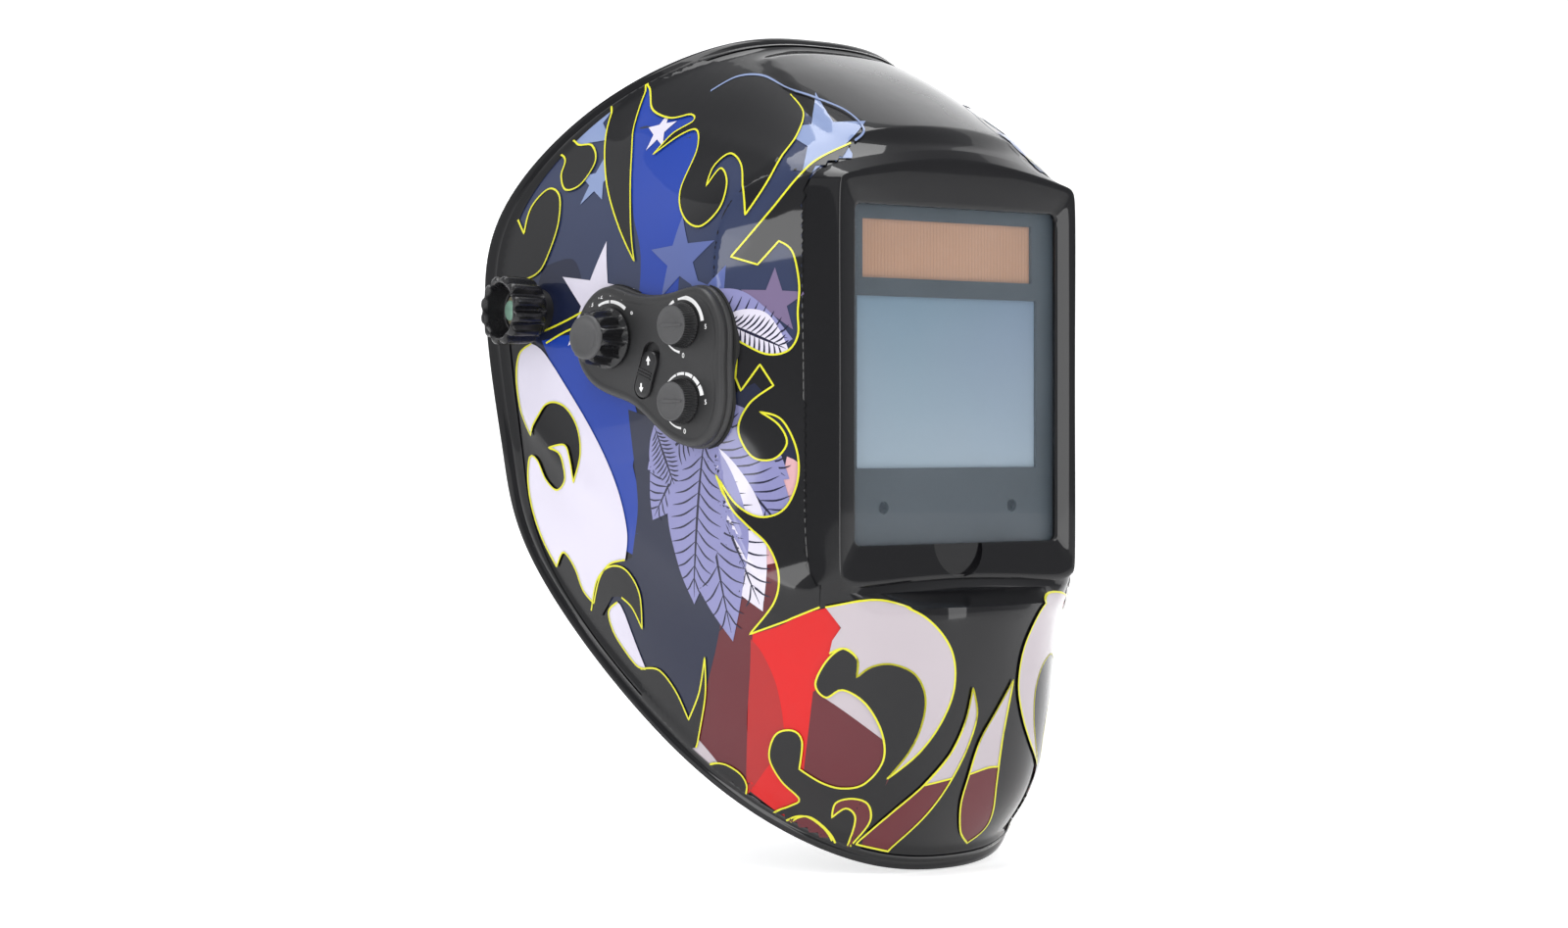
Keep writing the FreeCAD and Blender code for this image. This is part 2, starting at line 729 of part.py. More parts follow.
def switch_block(name, width, tall, low, high, slide=0.0):
    """A round-ended block at the range switch, turned to lie along its slot."""
    block = padded(name, [rectangle(width, tall)], [], high - low, width / 2 - 0.05)
    tilt = Rotation(Vector(0, 0, 1), -20)
    run = tilt.multVec(Vector(0, slide, 0))
    spot = POD_ORIGIN + POD_FORE * (-19.2 + run.x) + Vector(0, 0, -2.5 + run.y) + POD_OUT * low
    block.Placement = Placement(spot, POD_TURN.multiply(tilt))
    return block


def make_pod_case():
    """The pod's cover, gasket, base, circuit board, screws, potentiometers and switch body."""
    skirt, wall = D.pod_skirt.value, D.pod_wall.value
    controls = pod_controls()
    cap = pod_slab("pod_cap", 0, -skirt, 0)
    hollow = pod_slab("pod_cap_hollow", wall, -skirt - 1, -wall)
    holes = []
    for name, (x, y, radius, length) in controls.items():
        holes.append(pod_circle(f"{name}_hole", x, y, D.shaft_radius + D.running_gap, -wall - 1, 1))
    slot = switch_block("switch_slot", 9.5, 23, -wall - 1, 1)
    part(cut("pod_cap_cut", cap, hollow, slot, *holes), "pod_housing")
    seal = pod_slab("pod_seal", -0.8, -skirt - POD_SEAL, -skirt)
    seal_hole = pod_slab("pod_seal_hole", 5, -skirt - 2, -skirt + 1)
    part(cut("pod_seal_cut", seal, seal_hole), "pod_gasket")
    top = -skirt - POD_SEAL
    base = pod_slab("pod_tray", 3, -D.pod_depth.value, top)
    base_hollow = pod_slab("pod_tray_hollow", 5, -D.pod_depth.value + wall, top + 1)
    bay = DOC.addObject("Part::Box", "battery_bay")
    for side, length in (("Length", 29.4), ("Width", 40), ("Height", 7.1)):
        bind(bay, side, length)
    pod_place(bay, -14.7, -45, -D.pod_depth.value - 1)
    holes = [pod_circle("pod_screw_hole", x, y, 1.25, -D.pod_depth - 1, -D.pod_depth + 3)
             for x, y in POD_SCREWS]
    part(cut("pod_tray_cut", base, base_hollow, bay, *holes), "pod_base")
    make_pod_inside(controls, top)


def make_pod_inside(controls, top):
    """What the pod holds: the circuit board, potentiometers, switch body and screws."""
    board = pod_slab("board_slab", 7, top - 1.9, top - 0.3)
    board_holes = []
    bodies = []
    for name, (x, y, radius, length) in controls.items():
        board_holes.append(pod_circle(f"{name}_board_hole", x, y, 4, top - 3, top + 1))
        body = pod_circle(f"{name}_pot", x, y, 6.5, top - 0.3, top + 3.7)
        bore = pod_circle(f"{name}_pot_bore", x, y, D.shaft_radius + D.running_gap, top - 4, top + 6)
        bodies.append(cut(f"{name}_pot_cut", body, bore))
    part(cut("board_cut", board, *board_holes), "pod_circuit_board")
    part(group("pots", *bodies), "potentiometers")
    part(switch_block("SwitchBody", 8, 14, top - 0.3, top + 2.2), "switch_body")
    screws = []
    for number, (x, y) in enumerate(POD_SCREWS):
        screw = turned(f"pod_screw_{number}", [(0, 0), (2.6, 0), (2.6, 1.8), (1.2, 1.8), (1.2, 5), (0, 5)])
        screws.append(pod_place(screw, x, y, -D.pod_depth.value - 1.8))
    part(group("pod_screw_set", *screws), "pod_screws")


def make_pod_controls():
    """The three knobs with their shafts, the shade knob's cap, and the range switch."""
    foot = D.part_gap
    for name, (x, y, radius, length) in pod_controls().items():
        shaft = D.shaft_radius
        top = foot + length
        tip = radius - 0.18 * radius.value
        knob = turned(f"{name}Knob", [(shaft, foot), (radius, foot), (radius, foot + 1.2),
                                      (tip, top - 0.6), (tip - 0.8, top), (shaft, top)])
        if name == "shade":
            flute(knob, 2.2, radius + 0.9, 12)
        part(pod_place(knob, x, y), f"{name}_knob")
        rod = turned(f"{name}Shaft", [(0, -7), (shaft, -7), (shaft, top - 0.01), (0, top - 0.01)])
        part(pod_place(rod, x, y), f"{name}_shaft")
    x, y, radius, length = pod_controls()["shade"]
    top = foot + length
    cap = turned("KnobCap", [(0, top + 0.5), (4.5, top + 0.7), (7.2, top + 1.8), (8.4, top + 1.4),
                             (8.6, top), (0, top)])
    part(pod_place(cap, x, y), "shade_knob_cap")
    button = switch_block("Slider", 8.6, 19, -1.4, 1.6, -1.5)
    stem = switch_block("Stem", 3, 5, -3.4, -1.0, -1.5)
    part(fuse("range_slider", button, stem), "range_switch")


def make_battery():
    """The coin battery in its tray, which slides down out of the pod's base."""
    floor = -D.pod_depth.value + 0.2
    tray = DOC.addObject("Part::Box", "tray_block")
    for side, length in (("Length", 28.8), ("Width", 32), ("Height", 5.8)):
        bind(tray, side, length)
    pod_place(tray, -14.4, -37.3, floor)
    bed = pod_circle("battery_bed", 0, -20, 12.4, floor + 1, floor + 7)
    part(cut("tray_cut", tray, bed), "battery_tray")
    part(pod_circle("cell", 0, -20, 12.2, floor + 1.05, floor + 5.5), "coin_battery")


# ---------------------------------------------------------------- headgear

# The head band from above, its left half, from the middle of the brow to the start of the arm.
BROW_PLAN = [(0, -84), (26, -80.5), (50, -69), (68, -52), (78.6, -36), (82.7, -26), (84.4, -19)]
REAR_PLAN = [(81.6, 22), (80.5, 40), (73, 66), (59, 89), (46, 104), (37, 111.6)]
TAIL_REACH = 20.5
STRAP_ARCH = [(81.3, 24), (81.1, 42), (75, 64), (56, 83), (30, 92.5), (0, 96)]
REAR_ARCH = [(75.6, -11), (75.7, 14), (70.5, 45), (55, 66), (30, 79), (0, 83)]
ARM_START = -17.5
ARM_END = 41

# Where rivets join the rear band and the front crown strap to the arm, and the rear crown strap to the
# rear band, as (y, z).
REAR_RIVET = (34, 0)
STRAP_RIVET = (-12, 33)
CROWN_RIVET = (44, -2)
RIVET_HOLE = 2.55


def wall_face(points, thick):
    """A flat strip of one thickness along a smooth line, in the XY plane."""
    curve = Part.BSplineCurve()
    line = [Vector(x, y, 0) for x, y in points]
    curve.interpolate(Points=line)
    first, last = curve.FirstParameter, curve.LastParameter
    stations = 2 * len(points)
    sides = ([], [])
    for i in range(stations + 1):
        spot = first + (last - first) * i / stations
        point = curve.value(spot)
        run = curve.tangent(spot)[0]
        off = Vector(-run.y, run.x, 0) * (thick / 2)
        sides[0].append(point + off)
        sides[1].append(point - off)
    edges = []
    for side in sides:
        rim = Part.BSplineCurve()
        rim.interpolate(Points=side)
        edges.append(rim.toShape())
    ends = [Part.LineSegment(sides[0][0], sides[1][0]).toShape(),
            Part.LineSegment(sides[0][-1], sides[1][-1]).toShape()]
    return Part.Face(Part.Wire(Part.__sortEdges__(edges + ends)))


def side_slab(points, reach):
    """A slab across the object whose outline is given from the side, as (y, z) corners."""
    corners = [Vector(-reach, y, z) for y, z in points]
    wire = Part.makePolygon(corners + corners[:1])
    return Part.Face(wire).extrude(Vector(2 * reach, 0, 0))


def upright(face, low, high):
    """A face in the XY plane raised between two levels."""
    face.translate(Vector(0, 0, low))
    return face.extrude(Vector(0, 0, high - low))


def make_head_band():
    """The front band: brow, temples and the slotted side arms that carry the pivots."""
    thick = D.arm_thick.value
    arm_middle = D.arm_inner.value + thick / 2
    half = BROW_PLAN[1:] + [(arm_middle, ARM_START + 4)]
    whole = [(-x, y) for x, y in reversed(half)] + [BROW_PLAN[0]] + half
    wall = upright(wall_face(whole, thick), -20, 50)
    for sign in SIGN.values():
        arm = Part.makeBox(thick, ARM_END - ARM_START, 70)
        arm.translate(Vector(sign * arm_middle - thick / 2, ARM_START, -20))
        wall = wall.fuse(arm)
    low, high = D.brow_low.value, D.brow_high.value
    outline = [(-95, low), (-50, low), (-36, -6), (-26, -12), (ARM_END, -12), (ARM_END, 12), (12, 14),
               (2, 24), (-4, high), (-95, high)]
    band = freeform("band_strip", wall.common(side_slab(outline, 100)).removeSplitter())
    tools = []
    for side, sign in SIGN.items():
        x = sign * arm_middle
        tools.append(box(f"arm_slot_{side}", (x - 4, -17, -4.4), (x + 4, 17, 4.4)))
        for number, (y, z) in enumerate((REAR_RIVET, STRAP_RIVET)):
            spot = (sign * 78, y, z)
            tools.append(cylinder(f"rivet_hole_{number}_{side}", RIVET_HOLE, 12, spot, SIDES[side]))
    part(cut("band_cut", band, *tools), "head_band")


def make_sweatband():
    """The soft brow pad inside the front band."""
    thick = D.pad_thick.value
    inner = D.arm_thick.value / 2 + thick / 2 + 0.4
    shrink = 1 - inner / 84
    half = [(x * shrink, y * shrink) for x, y in BROW_PLAN[1:4]]
    whole = [(-x, y) for x, y in reversed(half)] + [(0, -84 * shrink)] + half
    pad = upright(wall_face(whole, thick), D.brow_low.value - 5, D.brow_high.value + 5)
    part(freeform("brow_pad", pad), "sweatband")


def make_rear_bands():
    """The two rear bands. Each ends in a straight toothed tail inside the adjuster."""
    thick = D.band_thick.value
    middle_y = D.adjuster_front.value + 6.5
    pitch = 2 * math.pi * D.pinion_radius.value / 12
    level = D.adjuster_level.value
    tall = D.rear_band_tall.value
    for side, sign in SIGN.items():
        plan = [(sign * x, y) for x, y in REAR_PLAN]
        curve_part = wall_face(plan + [(sign * 22, middle_y - 2.2)], thick)
        band = upright(curve_part, -70, 30)
        outline = [(15, 9), (42, 8), (110, level + tall / 2 - 1), (125, level + tall / 2 - 1),
                   (125, level - tall / 2 + 1), (106, level - tall / 2 + 1), (42, -12), (15, -9)]
        band = band.common(side_slab(outline, 100))
        lane = 1 if side == "left" else -1
        near = level + lane * (D.pinion_radius.value + 1.4)
        far = level + lane * (tall / 2 - 1)
        tail = Part.makeBox(TAIL_REACH + 24, thick, abs(far - near))
        tail_low = min(-sign * TAIL_REACH, sign * 24)
        tail.translate(Vector(tail_low, middle_y - thick / 2 - 2.2, min(near, far)))
        teeth = []
        for step in range(-6, 6):
            x = (step + 0.5) * pitch
            tooth = Part.makeBox(1.2, thick, 1.6)
            bottom = near - 1.5 if lane > 0 else near - 0.1
            tooth.translate(Vector(x - 0.6, middle_y - thick / 2 - 2.2, bottom))
            teeth.append(tooth)
        solid = band.fuse([tail] + teeth).removeSplitter()
        strip = freeform(f"rear_strip_{side}", solid)
        holes = []
        for number, (y, z) in enumerate((REAR_RIVET, CROWN_RIVET)):
            spot = (sign * 76, y, z)
            holes.append(cylinder(f"rear_hole_{number}_{side}", RIVET_HOLE, 12, spot, SIDES[side]))
        part(cut(f"rear_cut_{side}", strip, *holes), f"rear_band_{side}")


def arch(points, thick, low_y, width):
    """A strap over the head: a strip in the XZ plane, made wide along Y."""
    face = wall_face(points, thick)
    face.rotate(Vector(0, 0, 0), Vector(1, 0, 0), 90)
    face.translate(Vector(0, low_y + width, 0))
    return face.extrude(Vector(0, -width, 0))


def make_straps():
    """The crown straps: two that overlap at the top under a snap peg, and one behind them."""
    thick = D.band_thick.value
    width = D.strap_width.value
    low_y = -12 - width / 2
    for side, sign in SIGN.items():
        lift = 0 if side == "left" else thick + 0.3
        half = STRAP_ARCH[:-2] + [(30, 92.5 + lift), (0, 96 + lift), (-26, 93.5 + lift)]
        strap = arch([(sign * x, z) for x, z in half], thick, low_y, width)
        strip = freeform(f"strap_strip_{side}", strap)
        peg_hole = cylinder(f"peg_hole_{side}", RIVET_HOLE, 12, (0, -12, 90), UP)
        spot = (sign * 76, *STRAP_RIVET)
        rivet_hole = cylinder(f"strap_hole_{side}", RIVET_HOLE, 12, spot, SIDES[side])
        part(cut(f"strap_cut_{side}", strip, peg_hole, rivet_hole), f"crown_strap_{side}")
    peg = turned("Peg", [(0, 93.7), (5, 93.7), (5, 94.7), (2.5, 94.7), (2.5, 99.4), (5, 99.4), (5, 101),
                         (0, 101)])
    part(place(peg, (0, -12, 0)), "strap_peg")
    half = REAR_ARCH
    whole = half + [(-x, z) for x, z in reversed(half[:-1])]
    rear = freeform("rear_strap", arch(whole, thick, 36, width - 2))
    holes = []
    for side, sign in SIGN.items():
        spot = (sign * 72, *CROWN_RIVET)
        holes.append(cylinder(f"crown_hole_{side}", RIVET_HOLE, 6, spot, SIDES[side]))
    part(cut("rear_strap_cut", rear, *holes), "crown_strap_rear")


def make_rivets():
    """The rivets that join the rear bands and crown straps to the arms and bands."""
    outer = D.arm_inner + D.arm_thick
    rear = [(0, 78.4), (4.5, 78.4), (4.5, 79.4), (2.5, 79.4), (2.5, outer), (4.5, outer),
            (4.5, outer + 1), (0, outer + 1)]
    front = [(0, 79.4), (4.5, 79.4), (4.5, 80.4)] + [(2.5, 80.4)] + rear[4:]
    collared = [(0, 73.6), (4.5, 73.6), (4.5, 74.6), (2.5, 74.6), (2.5, 76.8), (4, 76.8), (4, 77.9),
                (2.5, 77.9), (2.5, 81.7), (4.5, 81.7), (4.5, 82.7), (0, 82.7)]
    rivets = []
    for side, sign in SIGN.items():
        profiles = ((REAR_RIVET, rear), (STRAP_RIVET, front), (CROWN_RIVET, collared))
        for number, ((y, z), profile) in enumerate(profiles):
            rivet = turned(f"rivet_{side}_{number}", profile)
            place(rivet, turn=SIDES[side])
            rivet.Placement.Base = Vector(0, y, z)
            rivets.append(rivet)
    part(group("rivets", *rivets), "band_rivets")


def make_adjuster():
    """The rear adjuster: housing, cover, pinion with its shaft, ratchet knob and nape pad."""
    width, tall = D.adjuster_width, D.adjuster_tall
    front, deep = D.adjuster_front, D.adjuster_deep
    level = D.adjuster_level
    lid = 2.2
    shaft = 4
    tub = padded("Tub", [rectangle(width, tall)], [], deep - lid, 8)
    place(tub, (0, front, level), REARWARD)
    cavity = box("tub_cavity", (-(width / 2) - 1, front + 2, level - tall / 2 + 4),
                 ((width / 2) + 1, front + deep, level + tall / 2 - 4))
    part(cut("tub_cut", tub, cavity), "adjuster_housing")
    cover = padded("Cover", [rectangle(width, tall)], [(0, 0, shaft + 0.06)], lid, 8)
    part(place(cover, (0, front + deep - lid, level), REARWARD), "adjuster_cover")
    gear = make_pinion(shaft)
    part(place(gear, (0, front + 2.6, level), REARWARD), "ratchet_pinion")
    radius, length = D.ratchet_radius, D.ratchet_length
    knob = turned("RatchetKnob", [(shaft, 0), (radius - 1, 0), (radius, 2), (radius - 2, length - 2),
                                  (radius - 5, length), (0, length), (0, length - 3), (shaft, length - 3)])
    flute(knob, 3, radius + 1.4, 14)
    part(place(knob, (0, front + deep + 0.4, level), REARWARD), "ratchet_knob")
    pad = padded("Pad", [rectangle(62, 36)], [], 6, 10)
    part(place(pad, (0, front - 6.3, level), REARWARD), "nape_pad")


def make_pinion(shaft):
    """A twelve-tooth pinion on its shaft, drawn with a tooth straight up and straight down."""
    teeth = 12
    root, tip = D.pinion_radius - 0.9, D.pinion_radius + 0.85
    shaft_length = D.adjuster_deep + 0.4 - 2.6 + D.ratchet_length - 3
    core = turned("PinionCore", [(0, 0), (root, 0), (root, 6.5), (shaft, 6.5), (shaft, shaft_length),
                                 (0, shaft_length)])
    pieces = [core]
    for number in range(teeth):
        tooth = DOC.addObject("Part::Box", f"tooth_{number}")
        bind(tooth, "Length", tip - root + 1)
        bind(tooth, "Width", 1.2)
        bind(tooth, "Height", 6.5)
        turn = Rotation(Vector(0, 0, 1), 360 * number / teeth)
        corner = turn.multVec(Vector(root.value - 1, -0.6, 0))
        tooth.Placement = Placement(corner, turn)
        pieces.append(tooth)
    return fuse("pinion", *pieces)


# ---------------------------------------------------------------- build, check and write


def check_and_write():
    """Stop on any failed object or unsound shape, then write every sub-part's file."""
    DOC.recompute()
    for thing in DOC.Objects:
        if "Invalid" in thing.State or "Error" in thing.State:
            owners = [owner.Label for owner in thing.InList]
            raise RuntimeError(f"{thing.Label} of {owners} failed to build: {thing.State}")
    for thing in PARTS:
        shape = thing.Shape
        if shape.isNull() or not shape.isValid() or shape.Volume <= 0:
            raise RuntimeError(f"{thing.Label} has no sound shape")
    os.makedirs("parts", exist_ok=True)
    for thing in PARTS:
        thing.Shape.exportStep(f"parts/{thing.Label}.step")
        print(f"{thing.Label}: {len(thing.Shape.Solids)} solid(s), {thing.Shape.Volume / 1000:.2f} cm3")
    print(len(PARTS), "sub-parts")


def main():
    make_shell()
    filter_front = make_window()
    filter_rear = make_filter(filter_front)
    make_holder(filter_rear)
    make_pivots()
    make_pod_case()
    make_pod_controls()
    make_battery()
    make_head_band()
    make_sweatband()
    make_rear_bands()
    make_straps()
    make_rivets()
    make_adjuster()
    check_and_write()


main()
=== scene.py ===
"""The looks of a welding helmet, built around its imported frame.

Metres, in the frame's own axes: the origin is the middle of the flip axis, +X is the wearer's left, -Y is
the front and +Z is up. The control pod is on the wearer's right, at -X.
"""

import math

import bmesh
import bpy
import numpy as np
from mathutils import Matrix, Vector
from mathutils.bvhtree import BVHTree
from mathutils.geometry import delaunay_2d_cdt


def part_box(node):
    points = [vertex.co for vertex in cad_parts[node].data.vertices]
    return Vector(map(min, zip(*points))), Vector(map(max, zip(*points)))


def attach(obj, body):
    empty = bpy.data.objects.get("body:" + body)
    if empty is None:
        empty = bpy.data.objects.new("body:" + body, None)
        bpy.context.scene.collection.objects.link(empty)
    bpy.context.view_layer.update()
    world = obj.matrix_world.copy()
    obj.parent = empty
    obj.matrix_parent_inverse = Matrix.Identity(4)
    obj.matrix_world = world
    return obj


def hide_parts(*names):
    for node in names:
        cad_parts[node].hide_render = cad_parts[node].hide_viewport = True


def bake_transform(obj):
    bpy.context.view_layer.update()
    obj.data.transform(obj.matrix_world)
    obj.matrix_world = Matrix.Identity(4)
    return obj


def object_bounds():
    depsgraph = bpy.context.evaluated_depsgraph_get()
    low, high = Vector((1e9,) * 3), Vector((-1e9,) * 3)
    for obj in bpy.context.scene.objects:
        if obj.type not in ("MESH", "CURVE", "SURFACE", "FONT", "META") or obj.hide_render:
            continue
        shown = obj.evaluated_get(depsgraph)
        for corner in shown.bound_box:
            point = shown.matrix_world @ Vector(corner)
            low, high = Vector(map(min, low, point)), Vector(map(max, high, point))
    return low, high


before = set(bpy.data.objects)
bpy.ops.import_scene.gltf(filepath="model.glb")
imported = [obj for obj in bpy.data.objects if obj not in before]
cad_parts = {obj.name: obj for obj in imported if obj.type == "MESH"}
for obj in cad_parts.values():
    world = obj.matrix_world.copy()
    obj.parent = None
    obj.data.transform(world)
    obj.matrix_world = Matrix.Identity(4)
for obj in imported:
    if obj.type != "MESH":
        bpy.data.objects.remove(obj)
CAD_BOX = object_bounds()
MM = 0.001

# ---------------------------------------------------------------- shape of the shell, in millimetres

# Half rings round the face opening, from the middle of the chin round the left side to the crown.
RIM = [(0, -124, -219), (34, -116, -215), (62, -91, -199), (86, -58, -169), (106, 6, -101),
       (112, 19, -58), (113, 31, 0), (106, 27, 44), (84, -4, 82), (44, -36, 107), (0, -41, 112)]
FLANK = [(0, -143, -184), (32, -139, -182), (58, -118, -171), (80, -86, -147), (98, -46, -100),
         (102, -44, -58), (102.5, -42, 0), (97, -40, 38), (76, -56, 70), (42, -78, 89), (0, -82, 94)]
SHOULDER = [(0, -153, -116), (28, -148, -116), (48, -137, -118), (66, -121, -121), (84, -107, -100),
            (92, -99, -58), (93, -99, 0), (87, -98, 36), (68, -109, 55), (40, -120, 66), (0, -124, 70)]
BOX_FOOT = [(0, -137, -110), (28, -136, -110), (52, -134, -110), (62, -130, -108), (66, -123, -96),
            (66.5, -122, -58), (66.5, -121, -5), (66, -121, 38), (60, -124, 52), (36, -130, 58), (0, -133, 61)]
BOX_EDGE = [(0, -135, -106), (30, -135, -107), (52, -135, -108), (59, -135, -106), (61, -135, -96),
            (61, -135, -58), (61, -135, -5), (61, -135, 40), (56, -135, 50), (32, -135, 55), (0, -135, 58)]
WALL = 2.8
AROUND = 320

WINDOW = {"width": 103, "tall": 131, "middle": -26.8, "corner": 3.0, "back": -131.4}

# The pod's outline seen from outside: x forward, y up, about the middle between its two front dials.
POD_EDGE = [(20.5, 0), (20, 16), (9, 29), (-5, 28), (-18, 26.5), (-30, 28), (-43, 31), (-56, 23),
            (-60.5, 10), (-54, -5), (-41, -12), (-28, -16), (-16, -24), (-3, -31), (11, -31), (19.5, -20)]
POD_ANGLE = math.radians(10)
POD_OUT = Vector((-math.cos(POD_ANGLE), -math.sin(POD_ANGLE), 0))
POD_FORE = Vector((math.sin(POD_ANGLE), -math.cos(POD_ANGLE), 0))
POD_ORIGIN = Vector((-101.6, -89.8, -22.5))
DIALS = {"shade": (-40, 10.5), "sensitivity": (0, 14.5), "delay": (0, -14.5)}
SIGN = {"right": -1, "left": 1}


# ---------------------------------------------------------------- node materials


def new_material(name):
    """An empty node material with its Principled shader."""
    material = bpy.data.materials.new(name)
    material.use_nodes = True
    nodes = material.node_tree.nodes
    return material, nodes, material.node_tree.links, nodes["Principled BSDF"]


def colour_noise(nodes, links, shader, low, high, scale, detail=4.0):
    """Vary the base colour softly between two colours."""
    where = nodes.new("ShaderNodeTexCoord")
    noise = nodes.new("ShaderNodeTexNoise")
    noise.inputs["Scale"].default_value = scale
    noise.inputs["Detail"].default_value = detail
    ramp = nodes.new("ShaderNodeValToRGB")
    ramp.color_ramp.elements[0].position = 0.3
    ramp.color_ramp.elements[1].position = 0.7
    ramp.color_ramp.elements[0].color = (*low, 1)
    ramp.color_ramp.elements[1].color = (*high, 1)
    links.new(where.outputs["Object"], noise.inputs["Vector"])
    links.new(noise.outputs["Fac"], ramp.inputs["Fac"])
    links.new(ramp.outputs["Color"], shader.inputs["Base Color"])
    return where, noise, ramp


def fine_bump(nodes, links, shader, where, scale, strength, distance=0.0001, kind="noise"):
    """A fine relief in the surface."""
    if kind == "noise":
        grain = nodes.new("ShaderNodeTexNoise")
        grain.inputs["Detail"].default_value = 3
        height = grain.outputs["Fac"]
    else:
        grain = nodes.new("ShaderNodeTexVoronoi")
        height = grain.outputs["Distance"]
    grain.inputs["Scale"].default_value = scale
    bump = nodes.new("ShaderNodeBump")
    bump.inputs["Strength"].default_value = strength
    bump.inputs["Distance"].default_value = distance
    links.new(where.outputs["Object"], grain.inputs["Vector"])
    links.new(height, bump.inputs["Height"])
    links.new(bump.outputs["Normal"], shader.inputs["Normal"])
    return bump


def rough_noise(nodes, links, shader, where, low, high, scale):
    """Vary the roughness between two values."""
    noise = nodes.new("ShaderNodeTexNoise")
    noise.inputs["Scale"].default_value = scale
    noise.inputs["Detail"].default_value = 5
    spread = nodes.new("ShaderNodeMapRange")
    spread.inputs["To Min"].default_value = low
    spread.inputs["To Max"].default_value = high
    links.new(where.outputs["Object"], noise.inputs["Vector"])
    links.new(noise.outputs["Fac"], spread.inputs["Value"])
    links.new(spread.outputs["Result"], shader.inputs["Roughness"])


def tinted(colour, factor):
    """A colour made lighter or darker."""
    return tuple(min(1.0, part * factor) for part in colour)


def moulded(name, colour, rough=0.5, grain=2600.0, relief=0.35):
    """Moulded plastic with a fine spark-eroded grain."""
    material, nodes, links, shader = new_material(name)
    where, _, _ = colour_noise(nodes, links, shader, tinted(colour, 0.86), tinted(colour, 1.16), 45)
    rough_noise(nodes, links, shader, where, rough - 0.07, rough + 0.07, 160)
    fine_bump(nodes, links, shader, where, grain, relief)
    shader.inputs["Specular IOR Level"].default_value = 0.45
    return material


def painted(name, colour, spread=0.06):
    """Paint or printed film under the glossy clear coat, with a faint orange peel."""
    material, nodes, links, shader = new_material(name)
    low, high = tinted(colour, 1 - spread), tinted(colour, 1 + spread)
    where, _, _ = colour_noise(nodes, links, shader, low, high, 14, 2)
    rough_noise(nodes, links, shader, where, 0.3, 0.4, 90)
    fine_bump(nodes, links, shader, where, 240, 0.05, 0.0001)
    shader.inputs["Coat Weight"].default_value = 1.0
    shader.inputs["Coat Roughness"].default_value = 0.035
    shader.inputs["Coat IOR"].default_value = 1.37
    shader.inputs["Specular IOR Level"].default_value = 0.08
    return material


def metal(name, colour, rough=0.35):
    """Zinc-plated or turned metal with a faint grain."""
    material, nodes, links, shader = new_material(name)
    where, _, _ = colour_noise(nodes, links, shader, tinted(colour, 0.8), tinted(colour, 1.15), 320)
    rough_noise(nodes, links, shader, where, rough - 0.1, rough + 0.12, 500)
    fine_bump(nodes, links, shader, where, 1800, 0.2)
    shader.inputs["Metallic"].default_value = 1.0
    return material


def fabric(name, colour):
    """A fine knitted cloth over foam."""
    material, nodes, links, shader = new_material(name)
    where, _, _ = colour_noise(nodes, links, shader, tinted(colour, 0.7), tinted(colour, 1.4), 260)
    waves = nodes.new("ShaderNodeTexWave")
    waves.inputs["Scale"].default_value = 420
    waves.inputs["Distortion"].default_value = 1.5
    cross = nodes.new("ShaderNodeTexWave")
    cross.bands_direction = "Z"
    cross.inputs["Scale"].default_value = 420
    cross.inputs["Distortion"].default_value = 1.5
    weave = nodes.new("ShaderNodeMath")
    weave.operation = "MULTIPLY"
    bump = nodes.new("ShaderNodeBump")
    bump.inputs["Strength"].default_value = 0.7
    bump.inputs["Distance"].default_value = 0.0004
    links.new(where.outputs["Object"], waves.inputs["Vector"])
    links.new(where.outputs["Object"], cross.inputs["Vector"])
    links.new(waves.outputs["Fac"], weave.inputs[0])
    links.new(cross.outputs["Fac"], weave.inputs[1])
    links.new(weave.outputs["Value"], bump.inputs["Height"])
    links.new(bump.outputs["Normal"], shader.inputs["Normal"])
    rough_noise(nodes, links, shader, where, 0.85, 0.97, 300)
    shader.inputs["Sheen Weight"].default_value = 0.5
    shader.inputs["Sheen Roughness"].default_value = 0.4
    return material


def clear_lens(name, colour, alpha):
    """Clear polycarbonate, thin and glossy, with faint wiping marks."""
    material, nodes, links, shader = new_material(name)
    where, _, _ = colour_noise(nodes, links, shader, tinted(colour, 0.9), tinted(colour, 1.1), 20)
    rough_noise(nodes, links, shader, where, 0.03, 0.09, 60)
    shader.inputs["Alpha"].default_value = alpha
    shader.inputs["Coat Weight"].default_value = 1.0
    shader.inputs["Coat Roughness"].default_value = 0.02
    material.surface_render_method = "BLENDED"
    return material


